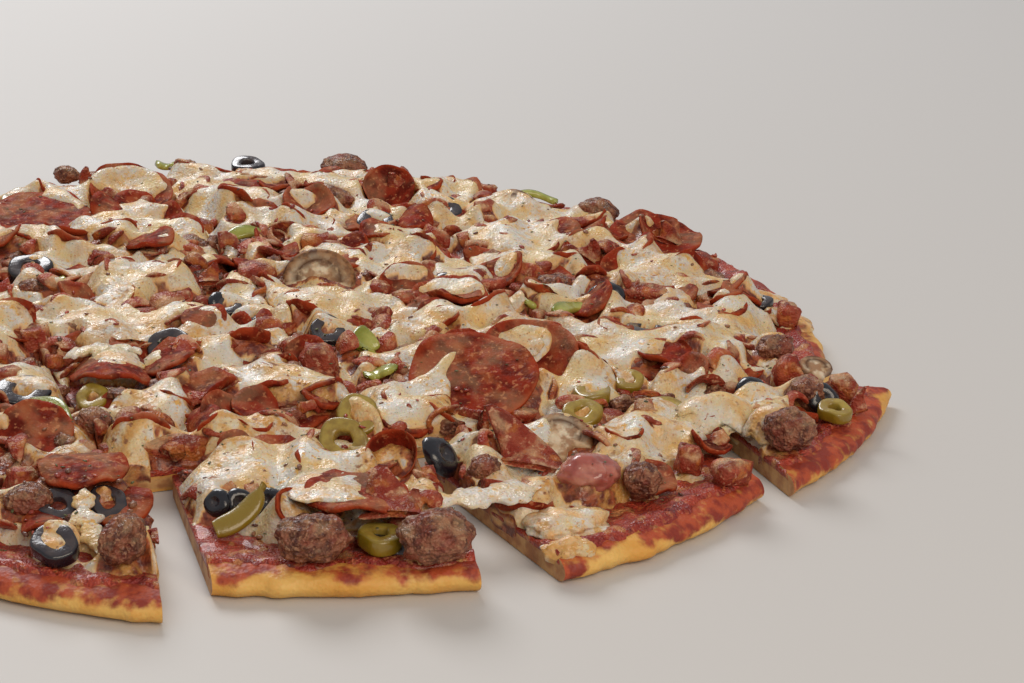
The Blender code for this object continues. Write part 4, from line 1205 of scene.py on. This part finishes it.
# Crumbs of meat, bits of tomato and dried herbs
crumbs = {
    "counts": {"meatCrumbs": 200, "redBits": 200, "herbFlakes": 800},
    "reach": 192, "rim": 190, "cutMargin": 1.0,
    # every third lies here, on the drawn-apart slices: left, right, near, beyond
    "apart": (-60, 205, -200, -100),
}
crumbShapes = {kind: [] for kind in crumbs["counts"]}
left, right, near, beyond = crumbs["apart"]
for kind, count in crumbs["counts"].items():
    for number in range(count):
        angle, reach = dice.uniform(0, math.tau), crumbs["reach"] * math.sqrt(dice.random())
        x, y = reach * math.cos(angle), reach * math.sin(angle)
        if number % 3 == 0:
            x, y = dice.uniform(left, right), dice.uniform(near, beyond)
        surface = surfaceAt(x, y)
        size = dice.uniform(1.2, 3.4)
        sides = (size, size * dice.uniform(0.4, 0.8), size * dice.uniform(0.25, 0.5))
        if kind == "herbFlakes":
            size = dice.uniform(0.8, 2.0)
            sides = (size, size * dice.uniform(0.3, 0.7), 0.3)
        turn, lean, tip = dice.uniform(0, 360), dice.uniform(0, 30), dice.uniform(0, 360)
        if surface is None:
            continue
        unit, faces = balls[1]
        rough = 1 + 0.35 * noiseAt(unit, 1.4, number * 0.37)
        points = unit * rough[:, None] * np.array(sides) / 2
        z = surface + sides[2] * 0.12
        crumbShapes[kind].append((placed(points, placing(x, y, z, turn, lean, tip)), faces,
                                  {"tone": np.full(len(points), dice.random())}))
for kind, shapes in crumbShapes.items():
    kindPieces[kind] = makePiece(kind, *joinShapes(shapes))
print("crumbs scattered")


# Materials
def link(tree, source, target):
    tree.links.new(source, target)


def newMaterial(name):
    material = bpy.data.materials.new(name)
    material.use_nodes = True
    return material, material.node_tree, material.node_tree.nodes["Principled BSDF"]


def newGroup(name, values, result):
    # a node group with number inputs and one output; returns it with its start, end and a source of places
    group = bpy.data.node_groups.new(name, "ShaderNodeTree")
    for label, value in values.items():
        group.interface.new_socket(label, in_out="INPUT", socket_type="NodeSocketFloat").default_value = value
    group.interface.new_socket(result, in_out="OUTPUT", socket_type="NodeSocketFloat")
    kinds = ("NodeGroupInput", "NodeGroupOutput", "ShaderNodeTexCoord")
    return group, group.nodes, *(group.nodes.new(kind) for kind in kinds)


def makeMottleGroup():
    # a mask of soft patches, between two thresholds
    values = {"Scale": 200.0, "Detail": 3.0, "From": 0.4, "To": 0.6}
    group, nodes, start, finishNode, places = newGroup("mottle", values, "Mask")
    cloud = nodes.new("ShaderNodeTexNoise")
    stretch = nodes.new("ShaderNodeMapRange")
    stretch.interpolation_type = "SMOOTHSTEP"
    group.links.new(places.outputs["Object"], cloud.inputs["Vector"])
    group.links.new(start.outputs["Scale"], cloud.inputs["Scale"])
    group.links.new(start.outputs["Detail"], cloud.inputs["Detail"])
    group.links.new(cloud.outputs["Fac"], stretch.inputs["Value"])
    group.links.new(start.outputs["From"], stretch.inputs["From Min"])
    group.links.new(start.outputs["To"], stretch.inputs["From Max"])
    group.links.new(stretch.outputs["Result"], finishNode.inputs["Mask"])
    return group


def makeReliefGroup():
    # height of fine lumps and pits for a Bump node
    values = {"Lump Scale": 400.0, "Pit Scale": 900.0, "Pits": 0.4}
    group, nodes, start, finishNode, places = newGroup("fineRelief", values, "Height")
    lumps = nodes.new("ShaderNodeTexNoise")
    lumps.inputs["Detail"].default_value = 4.0
    pits = nodes.new("ShaderNodeTexVoronoi")
    scaled = nodes.new("ShaderNodeMath")
    scaled.operation = "MULTIPLY"
    total = nodes.new("ShaderNodeMath")
    total.operation = "ADD"
    for texture in (lumps, pits):
        group.links.new(places.outputs["Object"], texture.inputs["Vector"])
    group.links.new(start.outputs["Lump Scale"], lumps.inputs["Scale"])
    group.links.new(start.outputs["Pit Scale"], pits.inputs["Scale"])
    group.links.new(pits.outputs["Distance"], scaled.inputs[0])
    group.links.new(start.outputs["Pits"], scaled.inputs[1])
    group.links.new(lumps.outputs["Fac"], total.inputs[0])
    group.links.new(scaled.outputs[0], total.inputs[1])
    group.links.new(total.outputs[0], finishNode.inputs["Height"])
    return group


def makeSmearGroup():
    # a mask of melted film on surfaces that face up
    group, nodes, start, finishNode, places = newGroup("smear", {"Scale": 110.0, "Amount": 0.6}, "Mask")
    facing, split = nodes.new("ShaderNodeNewGeometry"), nodes.new("ShaderNodeSeparateXYZ")
    cloud = nodes.new("ShaderNodeTexNoise")
    cloud.inputs["Detail"].default_value = 4.0
    patches, upward = nodes.new("ShaderNodeMapRange"), nodes.new("ShaderNodeMapRange")
    both, scaled = nodes.new("ShaderNodeMath"), nodes.new("ShaderNodeMath")
    both.operation = scaled.operation = "MULTIPLY"
    for node, low, high in ((patches, 0.46, 0.62), (upward, 0.05, 0.75)):
        node.interpolation_type = "SMOOTHSTEP"
        node.inputs["From Min"].default_value = low
        node.inputs["From Max"].default_value = high
    group.links.new(places.outputs["Object"], cloud.inputs["Vector"])
    group.links.new(start.outputs["Scale"], cloud.inputs["Scale"])
    group.links.new(cloud.outputs["Fac"], patches.inputs["Value"])
    group.links.new(facing.outputs["Normal"], split.inputs["Vector"])
    group.links.new(split.outputs["Z"], upward.inputs["Value"])
    group.links.new(patches.outputs["Result"], both.inputs[0])
    group.links.new(upward.outputs["Result"], both.inputs[1])
    group.links.new(both.outputs[0], scaled.inputs[0])
    group.links.new(start.outputs["Amount"], scaled.inputs[1])
    group.links.new(scaled.outputs[0], finishNode.inputs["Mask"])
    return group


mottleGroup, reliefGroup, smearGroup = makeMottleGroup(), makeReliefGroup(), makeSmearGroup()


def useGroup(tree, group, values):
    node = tree.nodes.new("ShaderNodeGroup")
    node.node_tree = group
    for name, value in values.items():
        node.inputs[name].default_value = value
    return node.outputs[0]


def mottle(tree, scale, low, high, detail=3.0):
    return useGroup(tree, mottleGroup, {"Scale": scale, "Detail": detail, "From": low, "To": high})


def smeared(tree, colour, scale, amount, film=(0.80, 0.58, 0.32)):
    return blendColours(tree, useGroup(tree, smearGroup, {"Scale": scale, "Amount": amount}), colour, film)


def relief(tree, shader, lumpScale, pitScale, pits, strength, distance):
    values = {"Lump Scale": lumpScale, "Pit Scale": pitScale, "Pits": pits}
    height = useGroup(tree, reliefGroup, values)
    bump = tree.nodes.new("ShaderNodeBump")
    bump.inputs["Strength"].default_value = strength
    bump.inputs["Distance"].default_value = distance
    link(tree, height, bump.inputs["Height"])
    link(tree, bump.outputs["Normal"], shader.inputs["Normal"])


def mask(tree, name):
    # a mask that the mesh carries at its points
    node = tree.nodes.new("ShaderNodeAttribute")
    node.attribute_name = name
    return node.outputs["Fac"]


def times(tree, first, second):
    node = tree.nodes.new("ShaderNodeMath")
    node.operation = "MULTIPLY"
    for slot, value in enumerate((first, second)):
        if isinstance(value, float):
            node.inputs[slot].default_value = value
        else:
            link(tree, value, node.inputs[slot])
    return node.outputs[0]


def blendColours(tree, share, first, second):
    # second over first by a mask; each is a colour or an output
    node = tree.nodes.new("ShaderNodeMix")
    node.data_type = "RGBA"
    link(tree, share, node.inputs[0])
    for slot, value in ((6, first), (7, second)):
        if isinstance(value, tuple):
            node.inputs[slot].default_value = (*value, 1)
        else:
            link(tree, value, node.inputs[slot])
    return node.outputs[2]


def valueBetween(tree, share, low, high):
    node = tree.nodes.new("ShaderNodeMapRange")
    node.inputs["To Min"].default_value = low
    node.inputs["To Max"].default_value = high
    link(tree, share, node.inputs["Value"])
    return node.outputs["Result"]


def stretched(tree, value, low, high):
    # 0 at low, 1 at high, with soft ends
    node = tree.nodes.new("ShaderNodeMapRange")
    node.interpolation_type = "SMOOTHSTEP"
    node.inputs["From Min"].default_value = low
    node.inputs["From Max"].default_value = high
    link(tree, value, node.inputs["Value"])
    return node.outputs["Result"]


# Finishes. A mottle is a scale and two thresholds. "base" mottles two colours, and "patches" lie on it in order:
# mottle, how strongly (a number, a mask of the mesh or a mottle), colour. "film" is melted fat: scale, amount.
# "rough" is a number, or a mottle and two roughnesses. "relief" holds the scales of lumps and of pits, how
# strong the pits are, strength, depth. "sockets" are the shader's own.
finishes = {
    "meltedCheese": {
        "base": ((90, 0.35, 0.62), (0.71, 0.55, 0.29), (0.68, 0.65, 0.585)),
        "patches": [
            ((110, 0.50, 0.68), 0.75, (0.76, 0.46, 0.13)),
            ((520, 0.56, 0.66), (45, 0.4, 0.6), (0.74, 0.44, 0.13)),
            ((760, 0.63, 0.69), 0.7, (0.42, 0.14, 0.06)), ((1150, 0.66, 0.71), 0.8, (0.15, 0.17, 0.05)),
        ],
        # where the cheese is thin it turns golden, then shows what lies under it: greasy meat and sauce,
        # darkened further as painted shade in the low hollows between toppings
        "thin": ((0.05, 0.55), (0.76, 0.46, 0.19), (0.5, 0.98)),
        "under": ((330, 0.38, 0.62), (0.13, 0.019, 0.010), (0.38, 0.095, 0.032)),
        "toasted": [((260, 0.36, 0.62), "toast", (0.62, 0.33, 0.09)),
                    ((420, 0.58, 0.70), "toast", (0.28, 0.11, 0.04))],
        "rough": ((300, 0.3, 0.7), 0.22, 0.58), "relief": (360, 900, 0.45, 0.7, 0.0008),
        "sockets": {"Subsurface Weight": 0.3, "Subsurface Radius": (1.0, 0.5, 0.22), "Subsurface Scale": 0.003,
                    "Coat Weight": 0.14, "Coat Roughness": 0.18},
    },
    "tomatoSauce": {
        "base": ((160, 0.35, 0.65), (0.27, 0.016, 0.008), (0.45, 0.050, 0.018)),
        "patches": [
            ((260, 0.54, 0.68), 0.6, (0.13, 0.013, 0.010)), ((420, 0.54, 0.68), 0.7, (0.55, 0.15, 0.05)),
            ((150, 0.57, 0.66), 0.6, (0.62, 0.30, 0.10)),
        ],
        "rough": ((380, 0.35, 0.65), 0.3, 0.6), "relief": (520, 1100, 0.6, 1.0, 0.0011),
        "sockets": {"Subsurface Weight": 0.1, "Subsurface Scale": 0.002, "Coat Weight": 0.3,
                    "Coat Roughness": 0.15},
    },
    "bakedCrust": {
        "base": ((60, 0.35, 0.65), (0.71, 0.345, 0.062), (0.80, 0.49, 0.135)),
        "patches": [((240, 0.5, 0.68), 0.5, (0.72, 0.32, 0.05))],
        # sauce smeared on the rim with a ragged edge, and the crumb in the cuts, coloured darker than bread
        # crumb as painted shade on the cut faces
        "ragged": ((230, 0.25, 0.75, 6.0), 0.7, 1.5), "smear": (0.42, 1.0),
        "stain": ((200, 0.4, 0.6), (0.46, 0.075, 0.022), (0.26, 0.028, 0.012)),
        "crumb": ((170, 0.4, 0.65), (0.58, 0.33, 0.13), (0.38, 0.16, 0.06)),
        "rough": 0.55, "relief": (300, 800, 0.5, 0.5, 0.0008),
        "sockets": {"Subsurface Weight": 0.08, "Subsurface Scale": 0.002},
    },
    "pepperoniMeat": {
        "base": ((190, 0.38, 0.60), (0.12, 0.013, 0.007), (0.27, 0.029, 0.012)),
        "patches": [
            ((110, 0.50, 0.66), 0.55, (0.38, 0.105, 0.035)), ((560, 0.58, 0.67), 0.6, (0.55, 0.22, 0.10)),
            ((150, 0.35, 0.6), "rim", (0.35, 0.048, 0.014)),
        ],
        "film": (70, 0.14), "rough": ((340, 0.35, 0.65), 0.42, 0.72), "relief": (420, 1100, 0.5, 0.7, 0.0006),
        "sockets": {"Subsurface Weight": 0.08, "Subsurface Scale": 0.002, "Specular IOR Level": 0.06},
    },
    "brownedSausage": {
        "base": ((300, 0.38, 0.62), (0.11, 0.032, 0.019), (0.29, 0.105, 0.055)),
        "patches": [
            ((620, 0.54, 0.64), 0.7, (0.44, 0.22, 0.12)), ((130, 0.50, 0.64), 0.6, (0.27, 0.050, 0.028)),
        ],
        "film": (160, 0.2), "rough": ((420, 0.35, 0.65), 0.3, 0.6), "relief": (480, 900, 0.7, 1.0, 0.0013),
        "sockets": {"Coat Weight": 0.12, "Coat Roughness": 0.2, "Subsurface Weight": 0.05,
                    "Subsurface Scale": 0.002, "Specular IOR Level": 0.35},
    },
    "ham": {
        "base": ((210, 0.40, 0.60), (0.32, 0.038, 0.018), (0.48, 0.110, 0.055)),
        "tone": (0.85, (0.21, 0.027, 0.014)),
        "patches": [
            ((150, 0.52, 0.64), 0.7, (0.52, 0.17, 0.04)), ((480, 0.57, 0.67), 0.6, (0.68, 0.36, 0.22)),
            ((260, 0.45, 0.6), "crisp", (0.18, 0.035, 0.02)),
        ],
        "film": (120, 0.45), "rough": 0.38, "relief": (560, 1200, 0.5, 1.0, 0.0008),
        "sockets": {"Coat Weight": 0.06, "Coat Roughness": 0.2, "Subsurface Weight": 0.12,
                    "Subsurface Scale": 0.002, "Specular IOR Level": 0.18},
    },
    "glossySalami": {
        "base": ((140, 0.35, 0.65), (0.40, 0.10, 0.075), (0.56, 0.22, 0.16)),
        "patches": [((90, 0.5, 0.62), 0.7, (0.26, 0.05, 0.04))],
        "rough": 0.24, "relief": (350, 900, 0.3, 0.35, 0.0006),
        "sockets": {"Coat Weight": 0.5, "Coat Roughness": 0.08, "Subsurface Weight": 0.15,
                    "Subsurface Scale": 0.003},
    },
    "roastedMushroom": {
        "base": ((200, 0.35, 0.65), (0.60, 0.44, 0.28), (0.78, 0.68, 0.52)),
        "patches": [
            ((240, 0.45, 0.62), 0.8, (0.30, 0.14, 0.06)), ((330, 0.3, 0.55), "gills", (0.11, 0.055, 0.030)),
        ],
        "skin": ((280, 0.4, 0.6), (0.11, 0.045, 0.022), (0.30, 0.15, 0.065)),
        "rough": 0.55, "relief": (450, 1000, 0.4, 0.5, 0.0006),
        "sockets": {"Subsurface Weight": 0.1, "Subsurface Scale": 0.002, "Specular IOR Level": 0.2},
    },
}
# Olives and peppers: flesh in two colours, skin, roughness
skinned = {
    "blackOlive": ((0.035, 0.028, 0.035), (0.06, 0.045, 0.045), (0.008, 0.008, 0.014), 0.25),
    "greenOlive": ((0.40, 0.29, 0.05), (0.29, 0.19, 0.03), (0.25, 0.165, 0.010), 0.3),
    "greenPepper": ((0.43, 0.44, 0.10), (0.33, 0.34, 0.05), (0.20, 0.22, 0.010), 0.25),
}
for name, (flesh, fleshDark, skinColour, rough) in skinned.items():
    finishes[name] = {
        "base": ((300, 0.35, 0.65), flesh, fleshDark), "skin": skinColour, "rough": rough,
        "relief": (600, 1300, 0.25, 0.3, 0.0006),
        "sockets": {"Coat Weight": 0.5, "Coat Roughness": 0.1, "Subsurface Weight": 0.06,
                    "Subsurface Scale": 0.002},
    }
# Crumbs and herbs: dark and light colour, roughness
crumbLooks = {
    "meatCrumb": ((0.10, 0.035, 0.025), (0.34, 0.15, 0.07), 0.4),
    "redBit": ((0.22, 0.02, 0.012), (0.50, 0.10, 0.05), 0.3),
    "driedHerb": ((0.045, 0.05, 0.015), (0.16, 0.17, 0.05), 0.6),
}
for name, (dark, light, rough) in crumbLooks.items():
    finishes[name] = {
        "shade": (dark, light), "patches": [((800, 0.4, 0.65), 0.5, dark)], "rough": rough,
        "relief": (900, 1500, 0.4, 0.5, 0.0004), "sockets": {"Coat Weight": 0.2, "Coat Roughness": 0.2},
    }


def mottled(tree, patches, first, second):
    return blendColours(tree, mottle(tree, *patches), first, second)


def layPatches(tree, colour, patchList):
    for patches, amount, tint in patchList:
        if isinstance(amount, str):
            amount = mask(tree, amount)
        elif isinstance(amount, tuple):
            amount = mottle(tree, *amount)
        colour = blendColours(tree, times(tree, mottle(tree, *patches), amount), colour, tint)
    return colour


def makeFinish(name, look):
    material, tree, shader = newMaterial(name)
    if "shade" in look:
        colour = blendColours(tree, mask(tree, "tone"), *look["shade"])
    else:
        colour = mottled(tree, *look["base"])
    if "tone" in look:
        amount, tint = look["tone"]
        colour = blendColours(tree, times(tree, mask(tree, "tone"), amount), colour, tint)
    colour = layPatches(tree, colour, look.get("patches", []))
    if "thin" in look:
        thinning, golden, showing = look["thin"]
        colour = blendColours(tree, stretched(tree, mask(tree, "thin"), *thinning), colour, golden)
        # the colour under thin cheese is partly painted shade: darker than the greasy meat and sauce so the
        # hollows read as shaded
        under = mottled(tree, *look["under"])
        colour = blendColours(tree, stretched(tree, mask(tree, "thin"), *showing), colour, under)
        colour = layPatches(tree, colour, look["toasted"])
    if "smear" in look:
        patches, low, high = look["ragged"]
        ragged = valueBetween(tree, mottle(tree, *patches), low, high)
        splashed = stretched(tree, times(tree, mask(tree, "smear"), ragged), *look["smear"])
        colour = blendColours(tree, splashed, colour, mottled(tree, *look["stain"]))
        # cut faces get the crumb colour, darkened as painted shade
        colour = blendColours(tree, mask(tree, "cut"), colour, mottled(tree, *look["crumb"]))
    if "skin" in look:
        skin = look["skin"] if isinstance(look["skin"][0], float) else mottled(tree, *look["skin"])
        colour = blendColours(tree, mask(tree, "skin"), colour, skin)
    if "film" in look:
        colour = smeared(tree, colour, *look["film"])
    link(tree, colour, shader.inputs["Base Color"])
    if isinstance(look["rough"], tuple):
        patches, low, high = look["rough"]
        link(tree, valueBetween(tree, mottle(tree, *patches), low, high), shader.inputs["Roughness"])
    else:
        shader.inputs["Roughness"].default_value = look["rough"]
    for socket, value in look["sockets"].items():
        shader.inputs[socket].default_value = value
    relief(tree, shader, *look["relief"])
    return material


materials = {name: makeFinish(name, look) for name, look in finishes.items()}
# Finish and slot of each kind, and of nodes by their first word
kindFinish = {
    "pepperoniSlices": ("pepperoniMeat", "pepperoni"), "sausageLumps": ("brownedSausage", "sausage"),
    "blackOlives": ("blackOlive", "black_olive"), "greenOlives": ("greenOlive", "cheese"),
    "pepperStrips": ("greenPepper", "cheese"), "mushroomSlices": ("roastedMushroom", "cheese"),
    "hamPieces": ("ham", "pepperoni"), "meatShreds": ("ham", "pepperoni"),
    "pepperoniBits": ("pepperoniMeat", "pepperoni"), "cheeseStrands": ("meltedCheese", "cheese"),
    "meatCrumbs": ("meatCrumb", "sausage"), "redBits": ("redBit", "sauce"),
    "herbFlakes": ("driedHerb", "cheese"),
}
nodeFinish = {
    "cheese": ("meltedCheese", "cheese"), "sauce": ("tomatoSauce", "sauce"), "crust": ("bakedCrust", "crust"),
    "pepperoni": ("pepperoniMeat", "pepperoni"), "sausage": ("brownedSausage", "sausage"),
    "olive": ("blackOlive", "black_olive"), "salami": ("glossySalami", "pepperoni"),
}


def dress(piece, finishName, slot, nodes=()):
    piece.data.materials.clear()
    piece.data.materials.append(materials[finishName])
    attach(piece, "root")
    if nodes:
        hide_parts(*nodes)


for node, piece in (*pieces.items(), *toppingPieces.items()):
    dress(piece, *nodeFinish[node.split("_")[0]], [node])
for kind, piece in kindPieces.items():
    dress(piece, *kindFinish[kind])
print("materials on")

# Stage: floor, lights and camera
stage = {
    "floor": (0.61, 0.595, 0.575), "floorRough": 0.6, "floorReach": 2500, "floorLevel": -0.3,
    "world": (0.97, 0.97, 1.0), "worldStrength": 0.36,
    # name: place, target, size, power, tint
    "lights": {
        "windowLight": ((-0.55, 1.25, 1.15), (0.02, 0, 0), 0.9, 17.5, (0.985, 0.98, 0.99)),
        "frontFill": ((0.7, -1.3, 1.1), (0, 0, 0), 1.2, 14.5, (1.0, 0.86, 0.69)),
    },
}
floorCorners = [(x * stage["floorReach"], y * stage["floorReach"], stage["floorLevel"])
                for x, y in ((-1, -1), (1, -1), (1, 1), (-1, 1))]
floor = makePiece("floor", floorCorners, [(0, 1, 2, 3)], smooth=False)
floorMaterial, floorTree, floorShader = newMaterial("paleFloor")
floorShader.inputs["Base Color"].default_value = (*stage["floor"], 1)
floorShader.inputs["Roughness"].default_value = stage["floorRough"]
floor.data.materials.append(floorMaterial)

world = bpy.data.worlds.new("softSky")
world.use_nodes = True
world.node_tree.nodes["Background"].inputs["Color"].default_value = (*stage["world"], 1)
world.node_tree.nodes["Background"].inputs["Strength"].default_value = stage["worldStrength"]
bpy.context.scene.world = world


def areaLight(name, place, target, size, power, tint):
    lamp = bpy.data.lights.new(name, "AREA")
    lamp.shape = "DISK"
    lamp.size, lamp.energy, lamp.color = size, power, tint
    holder = bpy.data.objects.new(name, lamp)
    holder.location = place
    holder.rotation_euler = (Vector(target) - Vector(place)).to_track_quat("-Z", "Y").to_euler()
    bpy.context.scene.collection.objects.link(holder)


for name, values in stage["lights"].items():
    areaLight(name, *values)

view = {   # the photograph's camera, found from the pizza's rim and cuts
    "pitch": math.radians(20.4), "roll": math.radians(2.11), "distance": 0.903, "aim": (0.0888, 0.0161, 0.0),
    "focalPixels": 2400.0, "imageWidth": 1024.0, "sensor": 36.0,
}
forward = Vector((0, math.cos(view["pitch"]), -math.sin(view["pitch"])))
level = Vector((1, 0, 0))
upright = level.cross(forward)
across = level * math.cos(view["roll"]) + upright * math.sin(view["roll"])
upright = upright * math.cos(view["roll"]) - level * math.sin(view["roll"])
lens = bpy.data.cameras.new("camera")
lens.sensor_width = view["sensor"]
lens.lens = view["focalPixels"] * view["sensor"] / view["imageWidth"]
lens.clip_start, lens.clip_end = 0.01, 20
camera = bpy.data.objects.new("camera", lens)
camera.matrix_world = Matrix.Translation(Vector(view["aim"]) - forward * view["distance"]) @ Matrix(
    (across, upright, -forward)).transposed().to_4x4()
bpy.context.scene.collection.objects.link(camera)
bpy.context.scene.camera = camera
bpy.context.scene.view_settings.view_transform = "Standard"
print("stage set")
